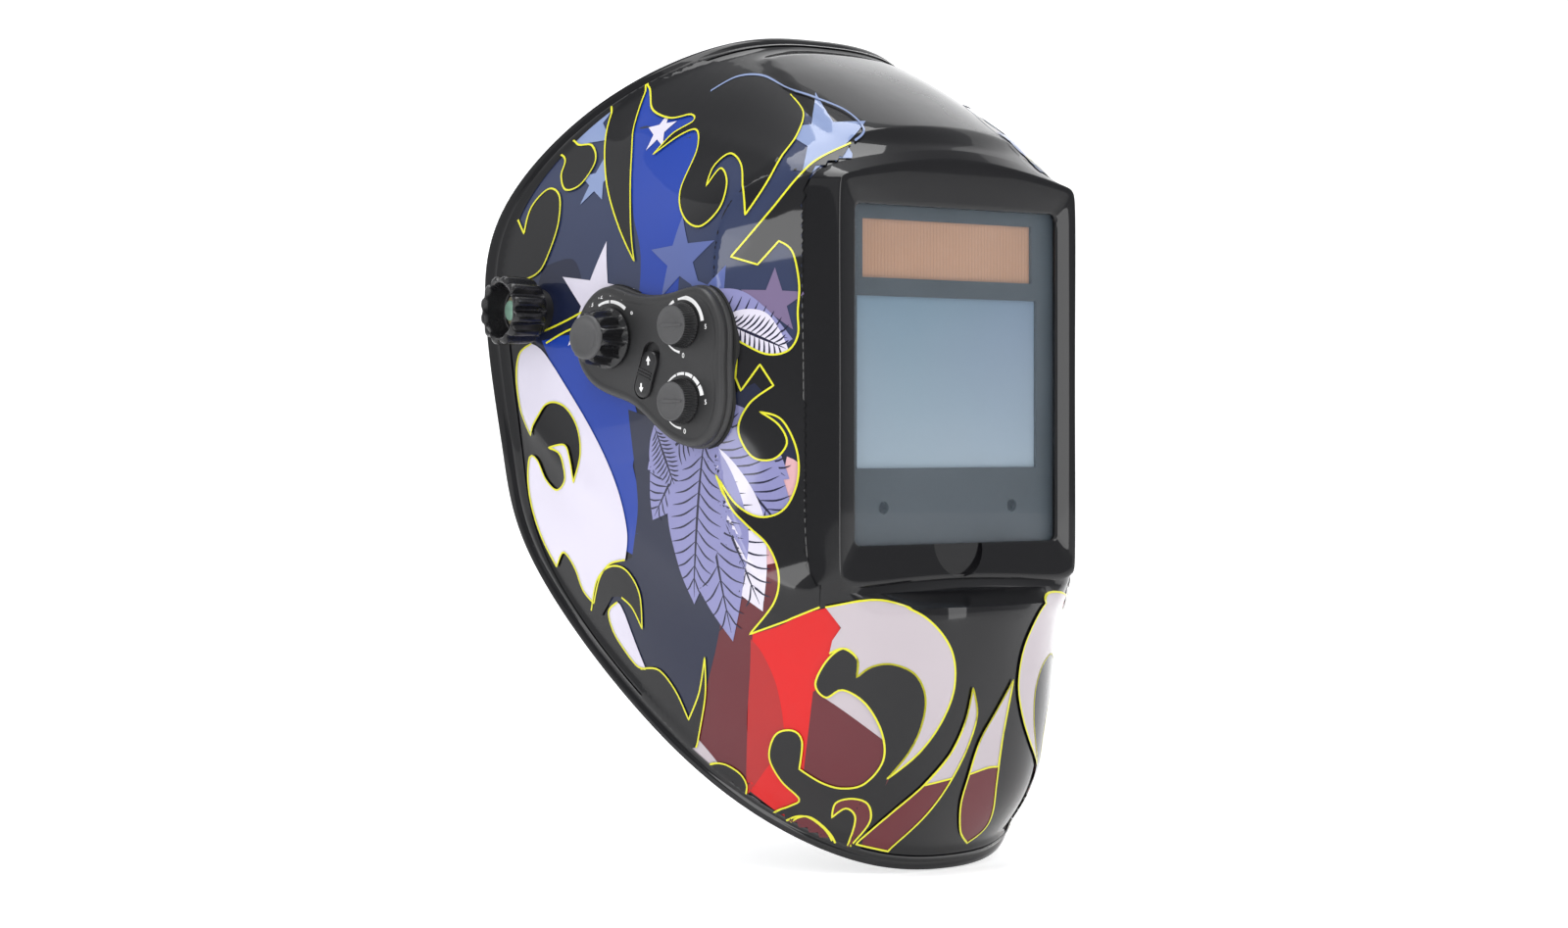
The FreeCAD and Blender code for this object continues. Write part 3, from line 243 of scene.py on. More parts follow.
def solar_material():
    """A copper-coloured amorphous cell with fine upright lines."""
    material, nodes, links, shader = new_material("solar_cell")
    where, _, _ = colour_noise(nodes, links, shader, (0.74, 0.40, 0.22), (0.82, 0.46, 0.27), 30)
    ramp = nodes["Color Ramp"]
    lines = nodes.new("ShaderNodeTexWave")
    lines.bands_direction = "X"
    lines.inputs["Scale"].default_value = 190
    lines.inputs["Distortion"].default_value = 0.2
    shade = nodes.new("ShaderNodeValToRGB")
    shade.color_ramp.elements[0].position = 0.0
    shade.color_ramp.elements[1].position = 0.25
    shade.color_ramp.elements[0].color = (0.62, 0.62, 0.62, 1)
    mix = nodes.new("ShaderNodeMix")
    mix.data_type = "RGBA"
    mix.blend_type = "MULTIPLY"
    mix.inputs["Factor"].default_value = 0.55
    links.new(where.outputs["Object"], lines.inputs["Vector"])
    links.new(lines.outputs["Fac"], shade.inputs["Fac"])
    links.new(ramp.outputs["Color"], mix.inputs["A"])
    links.new(shade.outputs["Color"], mix.inputs["B"])
    links.new(mix.outputs["Result"], shader.inputs["Base Color"])
    rough_noise(nodes, links, shader, where, 0.32, 0.42, 200)
    shader.inputs["Coat Weight"].default_value = 0.4
    return material


def filter_glass_material():
    """The filter's coated glass: grey-blue at the top, paler below, with a soft cloudy variation."""
    material, nodes, links, shader = new_material("filter_glass")
    where = nodes.new("ShaderNodeTexCoord")
    spot = nodes.new("ShaderNodeSeparateXYZ")
    height = nodes.new("ShaderNodeMapRange")
    height.inputs["From Min"].default_value = -0.063
    height.inputs["From Max"].default_value = 0.004
    ramp = nodes.new("ShaderNodeValToRGB")
    ramp.color_ramp.elements[0].color = (0.56, 0.68, 0.80, 1)
    ramp.color_ramp.elements[1].color = (0.30, 0.42, 0.56, 1)
    links.new(where.outputs["Object"], spot.inputs["Vector"])
    links.new(spot.outputs["Z"], height.inputs["Value"])
    links.new(height.outputs["Result"], ramp.inputs["Fac"])
    cloud = nodes.new("ShaderNodeTexNoise")
    cloud.inputs["Scale"].default_value = 9
    mix = nodes.new("ShaderNodeMix")
    mix.data_type = "RGBA"
    mix.blend_type = "SOFT_LIGHT"
    mix.inputs["Factor"].default_value = 0.18
    links.new(where.outputs["Object"], cloud.inputs["Vector"])
    links.new(ramp.outputs["Color"], mix.inputs["A"])
    links.new(cloud.outputs["Color"], mix.inputs["B"])
    links.new(mix.outputs["Result"], shader.inputs["Base Color"])
    rough_noise(nodes, links, shader, where, 0.12, 0.2, 40)
    shader.inputs["Coat Weight"].default_value = 0.6
    shader.inputs["Coat Roughness"].default_value = 0.03
    return material


BLACK = (0.004, 0.004, 0.005)
MAT = {
    "shell": painted("shell_black", BLACK),
    "inside": moulded("shell_inside", (0.018, 0.018, 0.02), 0.55),
    "royal": painted("print_royal_blue", (0.010, 0.042, 0.30)),
    "slate": painted("print_slate_blue", (0.024, 0.034, 0.080)),
    "pale": painted("print_pale", (0.63, 0.60, 0.70)),
    "star": painted("print_star", (0.20, 0.26, 0.44)),
    "lavender": painted("print_lavender", (0.22, 0.22, 0.42)),
    "red": painted("print_red", (0.56, 0.002, 0.002)),
    "maroon": painted("print_maroon", (0.105, 0.012, 0.018)),
    "grey": painted("print_grey_and_painted_reflection", (0.46, 0.41, 0.44)),
    "yellow": painted("print_yellow", (0.66, 0.64, 0.03)),
    "ink": painted("print_ink", (0.012, 0.012, 0.035)),
    "navy_and_painted_shadow": painted("print_navy_and_painted_shadow", (0.010, 0.014, 0.038)),
    "haze": painted("print_haze", (0.085, 0.115, 0.30)),
    "plum": painted("print_plum", (0.16, 0.12, 0.22)),
    "rose": painted("print_rose", (0.62, 0.36, 0.38)),
    "scarlet": painted("print_scarlet", (0.36, 0.012, 0.012)),
    "black": moulded("black_nylon", (0.007, 0.007, 0.008), 0.5, 1800),
    "knob": moulded("knob_black", (0.008, 0.008, 0.009), 0.26, 900, 0.12),
    "pod": moulded("pod_grey", (0.022, 0.022, 0.023), 0.44),
    "dial": moulded("dial_black", (0.010, 0.010, 0.011), 0.38, 2200),
    "dial_top": moulded("dial_top", (0.060, 0.060, 0.062), 0.5, 1500, 0.5),
    "filter": moulded("filter_slate", (0.075, 0.088, 0.100), 0.42, 1200, 0.2),
    "bands": moulded("band_plastic", (0.014, 0.014, 0.016), 0.45, 1500, 0.25),
    "clear": clear_lens("clear_lens", (0.10, 0.13, 0.16), 0.2),
    "glass": filter_glass_material(),
    "solar": solar_material(),
    "dark_glass": painted("sensor_glass", (0.006, 0.006, 0.008)),
    "board": painted("board_green", (0.015, 0.10, 0.04)),
    "rubber": moulded("rubber_black", (0.012, 0.012, 0.012), 0.75, 1200, 0.5),
    "zinc": metal("zinc_steel", (0.58, 0.58, 0.56)),
    "bolt": metal("bolt_zinc", (0.25, 0.42, 0.33), 0.4),
    "brass": metal("plated_brass", (0.55, 0.50, 0.33)),
    "print": moulded("print_white", (0.85, 0.85, 0.85), 0.5, 900, 0.05),
    "pad": fabric("pad_fabric", (0.022, 0.022, 0.026)),
}


# ---------------------------------------------------------------- mesh helpers


def mesh_object(name, points, faces, material, smooth=True):
    """A mesh object from points in metres."""
    mesh = bpy.data.meshes.new(name)
    mesh.from_pydata([tuple(point) for point in points], [], faces)
    mesh.validate()
    mesh.materials.append(material)
    mesh.polygons.foreach_set("use_smooth", [smooth] * len(mesh.polygons))
    piece = bpy.data.objects.new(name, mesh)
    bpy.context.scene.collection.objects.link(piece)
    return piece


def settle(piece, body, slot, *nodes):
    """Let the piece ride on a body and hide the CAD nodes it stands for. Its finish, the slot, is not used."""
    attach(piece, body)
    if nodes:
        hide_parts(*nodes)
    return piece


def apply_modifiers(piece):
    """Replace the piece's mesh by what its modifiers make of it."""
    graph = bpy.context.evaluated_depsgraph_get()
    mesh = bpy.data.meshes.new_from_object(piece.evaluated_get(graph))
    piece.modifiers.clear()
    piece.data = mesh


def outward_normals(piece):
    """Make all of a closed mesh's normals point outwards."""
    work = bmesh.new()
    work.from_mesh(piece.data)
    bmesh.ops.remove_doubles(work, verts=work.verts, dist=0.000002)
    bmesh.ops.recalc_face_normals(work, faces=work.faces)
    work.to_mesh(piece.data)
    work.free()


def sharp_edges(piece, degrees=35):
    """Keep edges sharper than an angle crisp."""
    piece.data.set_sharp_from_angle(angle=math.radians(degrees))


def subtract(piece, cutter):
    """Cut one closed mesh out of another, and remove the cutter."""
    modifier = piece.modifiers.new("cut", "BOOLEAN")
    modifier.object = cutter
    modifier.solver = "EXACT"
    bpy.context.view_layer.update()
    apply_modifiers(piece)
    bpy.data.objects.remove(cutter)


def closed_spline(points, spacing, count):
    """Points on the smooth closed curve through the given points, whose spacing says where they lie."""
    knots = np.array(spacing)
    points = np.array(points, float)
    n = len(points)
    steps = np.diff(knots)
    rises = (np.roll(points, -1, axis=0) - points) / steps[:, None]
    system = np.zeros((n, n))
    right = np.zeros((n, 3))
    for i in range(n):
        before, here = steps[i - 1], steps[i]
        system[i, i - 1] += before
        system[i, i] += 2 * (before + here)
        system[i, (i + 1) % n] += here
        right[i] = 6 * (rises[i] - rises[i - 1])
    bend = np.linalg.solve(system, right)
    places = np.linspace(knots[0], knots[-1], count, endpoint=False)
    index = np.clip(np.searchsorted(knots, places, side="right") - 1, 0, n - 1)
    t = places - knots[index]
    step = steps[index]
    after = (index + 1) % n
    slope = rises[index] - step[:, None] * (2 * bend[index] + bend[after]) / 6
    cubic = (bend[after] - bend[index]) / (6 * step[:, None])
    return points[index] + slope * t[:, None] + bend[index] * (t ** 2)[:, None] / 2 + cubic * (t ** 3)[:, None]


def whole_ring(half):
    """A half ring and its mirror image, as one closed list of points."""
    return list(half) + [(-x, y, z) for x, y, z in half[-2:0:-1]]


def ring_spacing():
    """How far apart the rows lie, the same for every ring."""
    rings = [np.array(ring, float) for ring in (RIM, FLANK, SHOULDER, BOX_FOOT)]
    steps = sum(np.linalg.norm(np.diff(ring, axis=0), axis=1) for ring in rings) / 4
    return np.concatenate([[0], np.cumsum(np.concatenate([steps, steps[::-1]]))])


SPACING = ring_spacing()


def smooth_ring(half):
    """A closed smooth ring through a half ring, with the same count of points for every ring."""
    return closed_spline(whole_ring(half), SPACING, AROUND)


def between(position):
    """The half ring at a position from 0 at the rim to 3 at the box's foot."""
    rings = [np.array(ring, float) for ring in (RIM, FLANK, SHOULDER, BOX_FOOT)]
    start = min(int(position), 2)
    t = position - start
    p1, p2 = rings[start], rings[start + 1]
    if start == 2:
        return p1 + (p2 - p1) * t
    p0 = rings[start - 1] if start > 0 else 2 * p1 - p2
    p3 = rings[start + 2]
    straight = 2 * p1 + (p2 - p0) * t
    bend = (2 * p0 - 5 * p1 + 4 * p2 - p3) * t ** 2
    twist = (3 * p1 - p0 - 3 * p2 + p3) * t ** 3
    return (straight + bend + twist) * 0.5


def grid_normals(grid):
    """Outward normals of a grid of rings."""
    around = np.roll(grid, -1, axis=1) - np.roll(grid, 1, axis=1)
    across = np.gradient(grid, axis=0)
    normal = np.cross(around, across)
    normal /= np.linalg.norm(normal, axis=2)[:, :, None]
    return normal


def ridge(points, line, height, width):
    """How far a soft crest along a polyline lifts each point."""
    nearest = np.full(points.shape[:-1], 1e9)
    for start, end in zip(line, line[1:]):
        start, end = np.array(start, float), np.array(end, float)
        run = end - start
        t = np.clip((points - start) @ run / (run @ run), 0, 1)
        off = np.linalg.norm(points - (start + t[..., None] * run), axis=-1)
        nearest = np.minimum(nearest, off)
    return height * np.exp(-((nearest ** 2 + 2.0) ** 0.5) / width)


def smoothstep(value, low, high):
    """0 below low, 1 above high, and smooth between."""
    t = np.clip((value - low) / (high - low), 0, 1)
    return t * t * (3 - 2 * t)


def style_lift(points):
    """The shell's pressed panel and style lines, as a lift off its plain form."""
    lift = np.zeros(points.shape[:-1])
    x, y, z = np.abs(points[..., 0]), points[..., 1], points[..., 2]
    panel = 36 + (-(y + 42)) * 0.16
    inside = smoothstep(panel - x, -1.6, 1.6) * smoothstep(z, 62, 70)
    inside *= smoothstep(-y, 50, 60)
    lift += 1.5 * inside
    folded = np.stack([x, y, z], axis=-1)
    lift += ridge(folded, [(83, -36, 74), (78, -70, 69), (72, -104, 60), (66, -118, 50)], 1.9, 4.5)
    jaw = [(111, 14, -34), (108, -22, -68), (103, -60, -92), (90, -98, -118), (74, -116, -146), (58, -122, -176)]
    lift += ridge(folded, jaw, 1.9, 4.6)
    return lift


# ---------------------------------------------------------------- the shell


def outer_grid():
    """The shell's outside from the rim's bead to the box's foot, as a grid of points in millimetres."""
    positions = np.concatenate([np.linspace(0, 2, 90), np.linspace(2, 3, 26)[1:]])
    grid = np.array([smooth_ring(between(position)) for position in positions])
    normal = grid_normals(grid)
    inward = np.linalg.norm(grid - grid[0], axis=2)
    lift = style_lift(grid) * smoothstep(inward, 9, 20)[..., None][..., 0]
    foot = smoothstep(positions, 2.55, 2.95)[:, None]
    lift = lift * (1 - foot)
    # The rolled bead: two rounded steps next to the rim.
    first = 2.0 * np.exp(-((inward / 3.2) ** 4))
    second = 1.0 * np.exp(-(((inward - 6.4) / 2.0) ** 2))
    lift = lift + first + second
    return grid + normal * lift[..., None], normal, positions


def rounded_rectangle(width, tall, middle, corner, angles):
    """Where rays from the middle of a rounded rectangle at these angles leave it, as (x, z)."""
    half_x, half_z = width / 2, tall / 2
    spots = []
    for angle in angles:
        way = np.array([math.cos(angle), math.sin(angle)])
        reach = min(half_x / max(abs(way[0]), 1e-9), half_z / max(abs(way[1]), 1e-9))
        spot = way * reach
        centre = np.array([half_x - corner, half_z - corner])
        past = np.abs(spot) - centre
        if past[0] > 0 and past[1] > 0:
            centre = centre * np.sign(way)
            along = way @ centre
            reach = along + math.sqrt(max(along ** 2 - centre @ centre + corner ** 2, 0))
            spot = way * reach
        spots.append((spot[0], middle + spot[1]))
    return np.array(spots)


def front_rings():
    """The rings of the window's bezel, from the box's front edge in to the window and back."""
    edge = smooth_ring(BOX_EDGE)
    middle = WINDOW["middle"]
    angles = np.arctan2(edge[:, 2] - middle, edge[:, 0])
    sill = rounded_rectangle(WINDOW["width"], WINDOW["tall"], middle, WINDOW["corner"], angles)
    rings = []
    for share, depth in ((0.0, 0.6), (0.03, 0.15), (0.1, 0.0), (0.22, 0.1), (0.6, 1.0), (0.9, 1.7), (0.97, 1.9)):
        ring = edge.copy()
        ring[:, 0] += (sill[:, 0] - edge[:, 0]) * share
        ring[:, 2] += (sill[:, 1] - edge[:, 2]) * share
        ring[:, 1] += depth
        rings.append(ring)
    for depth in (2.3, 3.6):
        rings.append(np.stack([sill[:, 0], np.full(AROUND, BOX_EDGE[0][1] + depth), sill[:, 1]], axis=1))
    inner = edge.copy()
    inner[:, 0] *= 1 - WALL / 61
    inner[:, 2] = middle + (inner[:, 2] - middle) * (1 - WALL / 80)
    inner[:, 1] += 3.6
    rings.append(inner)
    return rings


def ring_faces(rings, around, closed):
    """Quads between rings, and from the last back to the first if closed."""
    faces = []
    pairs = rings if closed else rings - 1
    for i in range(pairs):
        for j in range(around):
            after = (i + 1) % rings
            following = (j + 1) % around
            faces.append((i * around + j, after * around + j, after * around + following, i * around + following))
    return faces


def make_shell():
    """The shell: glossy outside with its bead and style lines, bezel, thumb recess and matt inside."""
    outside, normal, positions = outer_grid()
    plain = np.array([smooth_ring(between(position)) for position in positions])
    inside = plain - normal * WALL
    rings = list(outside)
    edge_round = outside[0] - normal[0] * 1.6
    rings += front_rings()
    rings += list(inside[::-4])
    rings.append(inside[0])
    rings.append(edge_round)
    points = np.concatenate(rings) * MM
    faces = ring_faces(len(rings), AROUND, True)
    shell = mesh_object("shell_body", points, faces, MAT["shell"])
    shell.data.materials.append(MAT["inside"])
    first_inside = (len(outside) + len(front_rings())) * AROUND
    for face in shell.data.polygons:
        if min(face.vertices) >= first_inside:
            face.material_index = 1
    outward_normals(shell)
    subtract(shell, cylinder_mesh("notch_cutter", 12.3, (0, -132, -93), (0, -139, -93), 96))
    sharp_edges(shell, 38)
    settle(shell, "shell", "shell_paint", "helmet_shell")
    trim = [outside[row] + normal[row] * 0.5 for row in range(4, 8)]
    strip = mesh_object("bead_edge", np.concatenate(trim) * MM, ring_faces(4, AROUND, False), MAT["shell"])
    settle(strip, "shell", "shell_paint")
    skin = BVHTree.FromPolygons([tuple(point) for point in (np.concatenate(outside[5:]) * MM)],
                                ring_faces(len(outside) - 5, AROUND, False))
    return skin


def cylinder_mesh(name, radius, start, end, count):
    """A plain closed cylinder between two points, for cutting."""
    start, end = Vector(start) * MM, Vector(end) * MM
    run = (end - start).normalized()
    side = run.orthogonal().normalized()
    up = run.cross(side)
    points = []
    for centre in (start, end):
        for i in range(count):
            angle = 2 * math.pi * i / count
            points.append(centre + (side * math.cos(angle) + up * math.sin(angle)) * radius * MM)
    faces = [(i, (i + 1) % count, count + (i + 1) % count, count + i) for i in range(count)]
    faces.append(tuple(range(count - 1, -1, -1)))
    faces.append(tuple(range(count, 2 * count)))
    return mesh_object(name, points, faces, MAT["shell"], False)


# ---------------------------------------------------------------- the printed artwork

# The artwork is drawn on the shell unrolled about an upright axis: (s, z) in millimetres, where s runs
# from the middle of the front round the wearer's right side.
UNROLL_RADIUS = 110.0
UNROLL_Y = -30.0
LAYER = 0.03


def on_shell(skin, s, z, lift, side):
    """The point of the shell's outside at one place of the unrolled artwork."""
    angle = s / UNROLL_RADIUS
    way = Vector((side * math.sin(angle), -math.cos(angle), 0))
    far = Vector((0, UNROLL_Y * MM, z * MM)) + way * 0.3
    spot, normal, _, _ = skin.ray_cast(far, -way, 0.29)
    if spot is None:
        return None
    if normal.dot(way) < 0:
        normal = -normal
    return spot + normal * (lift * MM)


def flowing(points, step=1.6, closed=True):
    """A line through its points: smooth, except at those that carry a third value."""
    count = len(points)
    spans = count if closed else count - 1
    outline = []
    for i in range(spans):
        p1, p2 = points[i], points[(i + 1) % count]
        before = points[i - 1] if closed or i else p1
        beyond = points[(i + 2) % count] if closed or i + 2 < count else p2
        p0 = before if len(p1) == 2 else p1
        p3 = beyond if len(p2) == 2 else p2
        a, b, c, d = (np.array(p[:2], float) for p in (p0, p1, p2, p3))
        parts = max(2, int(np.linalg.norm(c - b) / step))
        for k in range(parts):
            t = k / parts
            spot = 2 * b + (c - a) * t + (2 * a - 5 * b + 4 * c - d) * t ** 2 + (3 * b - a - 3 * c + d) * t ** 3
            outline.append(tuple(spot * 0.5))
    if not closed:
        outline.append(tuple(float(value) for value in points[-1][:2]))
    return outline


def inside_outline(spots, outline):
    """Which of the points lie inside a closed outline."""
    x, y = spots[:, 0], spots[:, 1]
    hits = np.zeros(len(spots), bool)
    for (x1, y1), (x2, y2) in zip(outline, outline[1:] + outline[:1]):
        if y1 != y2:
            hits ^= ((y1 > y) != (y2 > y)) & (x < (x2 - x1) * (y - y1) / (y2 - y1) + x1)
    return hits


def filled(outline, step=1.9):
    """Triangles that fill an outline, with points inside it so that they can follow a curved surface."""
    corners = np.array(outline)
    low, high = corners.min(axis=0), corners.max(axis=0)
    xs = np.arange(low[0], high[0], step)
    ys = np.arange(low[1], high[1], step)
    spots = np.stack(np.meshgrid(xs, ys), axis=-1)
    spots[1::2, :, 0] += step / 2
    spots = spots.reshape(-1, 2)
    spots = spots[inside_outline(spots, outline)]
    points = [Vector(p) for p in outline] + [Vector(p) for p in spots.tolist()]
    edges = [(i, (i + 1) % len(outline)) for i in range(len(outline))]
    found = delaunay_2d_cdt(points, edges, [], 1, 1e-6)
    return [tuple(p) for p in found[0]], [tuple(face) for face in found[2]]


FILLED = {}


def filled_once(points):
    """The filled shape of an outline, worked out once for both sides."""
    key = tuple(points)
    if key not in FILLED:
        FILLED[key] = filled(flowing(points))
    return FILLED[key]


class Print:
    """One colour of the artwork on one side of the shell, gathered into one mesh. The navy and grey colours also carry
    painted shadow and painted reflections.
    """

    def __init__(self, name, material):
        self.name = name
        self.material = material
        self.points = []
        self.faces = []

    def add(self, skin, flat_points, flat_faces, side, layer):
        """Lay flat triangles on the shell, each layer a little further out."""
        lift = 0.12 + layer * LAYER
        spots = {}
        for i, (s, z) in enumerate(flat_points):
            spot = on_shell(skin, s, z, lift, side)
            if spot is not None:
                spots[i] = len(self.points)
                self.points.append(spot)
        for face in flat_faces:
            if all(i in spots for i in face):
                self.faces.append(tuple(spots[i] for i in face))

    def shape(self, skin, points, side, layer):
        """Print one filled shape."""
        flat_points, flat_faces = filled_once(points)
        self.add(skin, flat_points, flat_faces, side, layer)

    def line(self, skin, points, side, layer, width=0.72, closed=True, taper=False):
        """Print one line of a width along an outline."""
        path = np.array(flowing(points, 1.2, closed))
        ahead = np.roll(path, -1, axis=0) - np.roll(path, 1, axis=0)
        if not closed:
            ahead[0], ahead[-1] = path[1] - path[0], path[-1] - path[-2]
        ahead /= np.maximum(np.linalg.norm(ahead, axis=1), 1e-9)[:, None]
        across = np.stack([-ahead[:, 1], ahead[:, 0]], axis=1) * (width / 2)
        if taper:
            across *= np.sin(np.linspace(0.12, math.pi - 0.12, len(path)))[:, None]
        flat = [tuple(p) for p in path + across] + [tuple(p) for p in path - across]
        count = len(path)
        pairs = count if closed else count - 1
        faces = [(i, (i + 1) % count, count + (i + 1) % count, count + i) for i in range(pairs)]
        self.add(skin, flat, faces, side, layer)

    def finish(self):
        """Make the mesh and let it ride on the shell."""
        if not self.faces:
            return
        piece = mesh_object(self.name, self.points, self.faces, self.material)
        settle(piece, "shell", "shell_paint")


# Plain coloured fields, lowest first: (colour, outline). A third value marks a sharp corner. Besides print, they hold
# one patch of painted shadow and two patches of painted reflection.
FIELDS = [
    ("slate", [(224, 62, 1), (214, 78), (196, 94, 1), (170, 98, 1), (130, 96), (96, 90), (72, 80, 1),
                  (52, 62, 1), (70.5, 45, 1), (70.5, 0, 1), (71, -22, 1), (110, -20), (150, -14), (186, -10),
                  (202, 4), (212, 24, 1), (222, 44)]),
    # This dark navy patch round the tension knob's base is painted shadow of the knob, not print.
    ("navy_and_painted_shadow", [(202, 18, 1), (184, 20), (176, 4), (180, -14), (196, -22, 1), (206, -6)]),
    ("royal", [(186, 96, 1), (176, 80), (164, 58), (152, 38), (142, 20), (143, -4), (152, -34, 1), (130, -34, 1), (121, -8),
                  (119, 20), (122, 42), (124, 62), (131, 80, 1), (150, 92)]),
    ("royal", [(200, -12, 1), (184, -10), (168, -14), (150, -30), (142, -44), (146, -62, 1), (142, -80),
                  (146, -98, 1), (158, -94, 1), (168, -60), (186, -34)]),
    ("navy_and_painted_shadow", [(148, -40, 1), (118, -44), (88, -30, 1), (76, -44), (71, -58), (71, -76), (84, -92),
                 (78, -104, 1), (92, -116), (104, -138), (112, -150), (124, -162, 1), (136, -152), (152, -138),
                 (166, -124), (164, -104), (150, -98, 1), (144, -76)]),
    ("rose", [(76, -58, 1), (71, -62), (71, -76), (78, -84, 1), (84, -76, 1), (78, -66)]),
    ("rose", [(98, -84, 1), (86, -90), (78, -98), (80, -106, 1), (92, -104), (100, -96, 1)]),
    ("maroon", [(96, -102, 1), (78, -98, 1), (76, -118), (88, -130, 1), (94, -160), (92, -188, 1),
                   (104, -184), (121, -170, 1), (114, -150), (108, -134), (102, -116)]),
    ("red", [(90, -126, 1), (80, -123), (70, -118), (60, -115, 1), (56, -124, 1), (62, -140), (66, -152),
                (68, -176), (69, -201, 1), (80, -197, 1), (95, -188, 1), (94, -164), (92, -142)]),
    ("scarlet", [(91, -128, 1), (92, -142), (94, -164), (97, -191, 1), (87, -180), (78, -168), (80, -148),
                    (86, -134)]),
    ("maroon", [(66, -148, 1), (58, -144), (44, -150), (36, -166), (40, -186), (60, -190), (70, -184, 1),
                   (68, -166)]),
    ("grey", [(62, -150, 1), (54, -144, 1), (46, -148), (40, -158), (38, -168, 1), (48, -160), (56, -154)]),
    # The next two pale grey patches at the lower rim are painted reflections, not print.
    ("grey", [(123, -166, 1), (114, -174), (104, -184, 1), (112, -188, 1), (124, -178, 1)]),
    ("grey", [(99, -188, 1), (90, -192), (82, -200, 1), (92, -204, 1), (102, -196, 1)]),
]

# Fields with a yellow edge: (colour, edge, the rest of the outline, which has no line).
EDGED = [
    # The pale curl behind the pod.
    ("pale",
     [(154, -99, 1), (164, -101), (171, -107), (176, -117, 1), (182, -112), (186, -103), (192, -97),
      (197, -103, 1), (203, -93), (207, -81), (208, -69), (206, -59), (202, -60), (198, -68), (192, -72),
      (186, -67), (188, -58), (194, -55, 1), (186, -54), (183, -60), (181, -69, 1), (177, -57), (179, -46),
      (187, -38), (197, -38), (204, -50, 1), (209, -40), (212, -27), (211, -17), (205, -13, 1)],
     [(198, -17), (184, -32), (171, -47), (161, -61), (154, -75), (151, -88)]),
    ("pale",
     [(147, -142, 1), (152, -141), (158, -136), (165, -128), (167, -120), (161, -116)],
     [(157, -121, 1), (152, -132)]),
    # The hooked flames at the rear.
    ("shell",
     [(220, 38, 1), (215, 32, 1), (215, 43), (209, 50), (201, 46), (197, 34), (200, 21), (205, 15), (216, 12, 1)],
     [(228, 12, 1), (228, 40, 1)]),
    ("shell",
     [(214, 84, 1), (210, 74), (204, 68), (195, 67), (188, 60), (191, 51), (199, 49), (205, 55), (207, 62),
      (216, 67, 1)],
     [(226, 66, 1), (222, 84, 1)]),
    ("shell",
     [(199, 92, 1), (190, 72), (176, 52), (160, 34), (145, 18, 1), (153, 38), (163, 57), (173, 74), (184, 93, 1)],
     []),
    # The flame that comes over the crown, with its curl.
    ("shell",
     [(184, 93, 1), (176, 87), (166, 80), (150, 76), (137, 77), (133, 74), (143, 69), (151, 61, 1), (138, 68),
      (128, 70), (123, 62), (125, 45), (119, 34), (110, 30), (102, 37), (101, 47), (106, 53), (111, 46, 1),
      (110, 54), (103, 59), (96, 54), (93, 43), (92, 34, 1), (84, 46), (78, 57), (72, 66), (69, 76),
      (76, 84, 1)],
     [(92, 92, 1), (130, 100, 1), (170, 102, 1)]),
    # The steps and hooks along the window box.
    ("shell",
     [(50, 62, 1), (67, 53), (82, 36), (97, 18, 1), (87, 15, 1), (79, 24, 1), (74, 20), (71.5, 8), (72, -3),
      (72, -12), (76, -18), (84, -19), (94, -14, 1), (95, -28, 1), (93, -33, 1), (86, -23, 1), (81, -31, 1),
      (90, -38), (94, -48), (89, -58), (81, -59), (76, -53), (79, -46), (86, -41, 1), (78, -44), (72.5, -55),
      (72, -67), (77, -78), (86, -81), (95, -76), (102, -65, 1), (97, -77), (91, -84), (83, -92), (79, -103),
      (81, -114), (91, -126, 1), (78, -121), (64, -115, 1)],
     [(64, -110, 1), (62, -60, 1), (62, 10, 1), (63, 45, 1)]),
    # The curls along the rim of the jaw.
    ("shell",
     [(178, -120, 1), (173, -108), (164, -102), (154, -103), (147, -112), (147, -126, 1), (152, -118),
      (158, -114)],
     [(164, -114, 1), (172, -122, 1)]),
    ("shell",
     [(150, -142, 1), (139, -142), (130, -150), (124, -161, 1), (117, -150), (113, -136, 1), (114, -152),
      (121, -172, 1)],
     [(132, -172, 1), (150, -156, 1)]),
    ("shell",
     [(114, -178, 1), (106, -178), (98, -182), (96, -188), (100, -194, 1)],
     [(112, -192, 1)]),
    # The big curl on the jaw, and the black hook inside it.
    ("grey",
     [(62, -115, 1), (50, -113), (38, -114), (26, -120), (17, -132), (15, -146), (19, -159), (27, -171),
      (38, -181, 1), (31, -171), (27, -161), (26, -150), (30, -141), (38, -137), (45, -138), (50, -142, 1),
      (50, -135), (55, -131), (60, -133, 1)],
     [(59, -128, 1), (56, -123, 1)]),
    ("shell",
     [(38, -181, 1), (31, -171), (27, -161), (26, -150), (30, -141), (38, -137), (45, -138), (50, -142, 1),
      (50, -135), (55, -131), (61, -136), (65, -145), (61, -150), (55, -147), (47, -152), (41, -163),
      (40, -174), (46, -183), (54, -185), (62, -183), (71, -178, 1), (70, -167), (74, -163), (81, -165),
      (84, -174), (79, -183), (71, -190), (75, -193), (83, -196, 1), (78, -201, 1), (68, -197), (60, -201),
      (54, -208, 1)],
     [(44, -210, 1)]),
    ("maroon",
     [(57, -197, 1), (56, -191), (50, -189), (44, -191), (42, -198), (46, -206), (50, -210, 1), (48, -203),
      (48, -196), (52, -193)],
     []),
    ("maroon", [(80, -200, 1), (69, -197), (61, -201), (54, -209, 1)], [(60, -208, 1), (73, -202, 1)]),
]

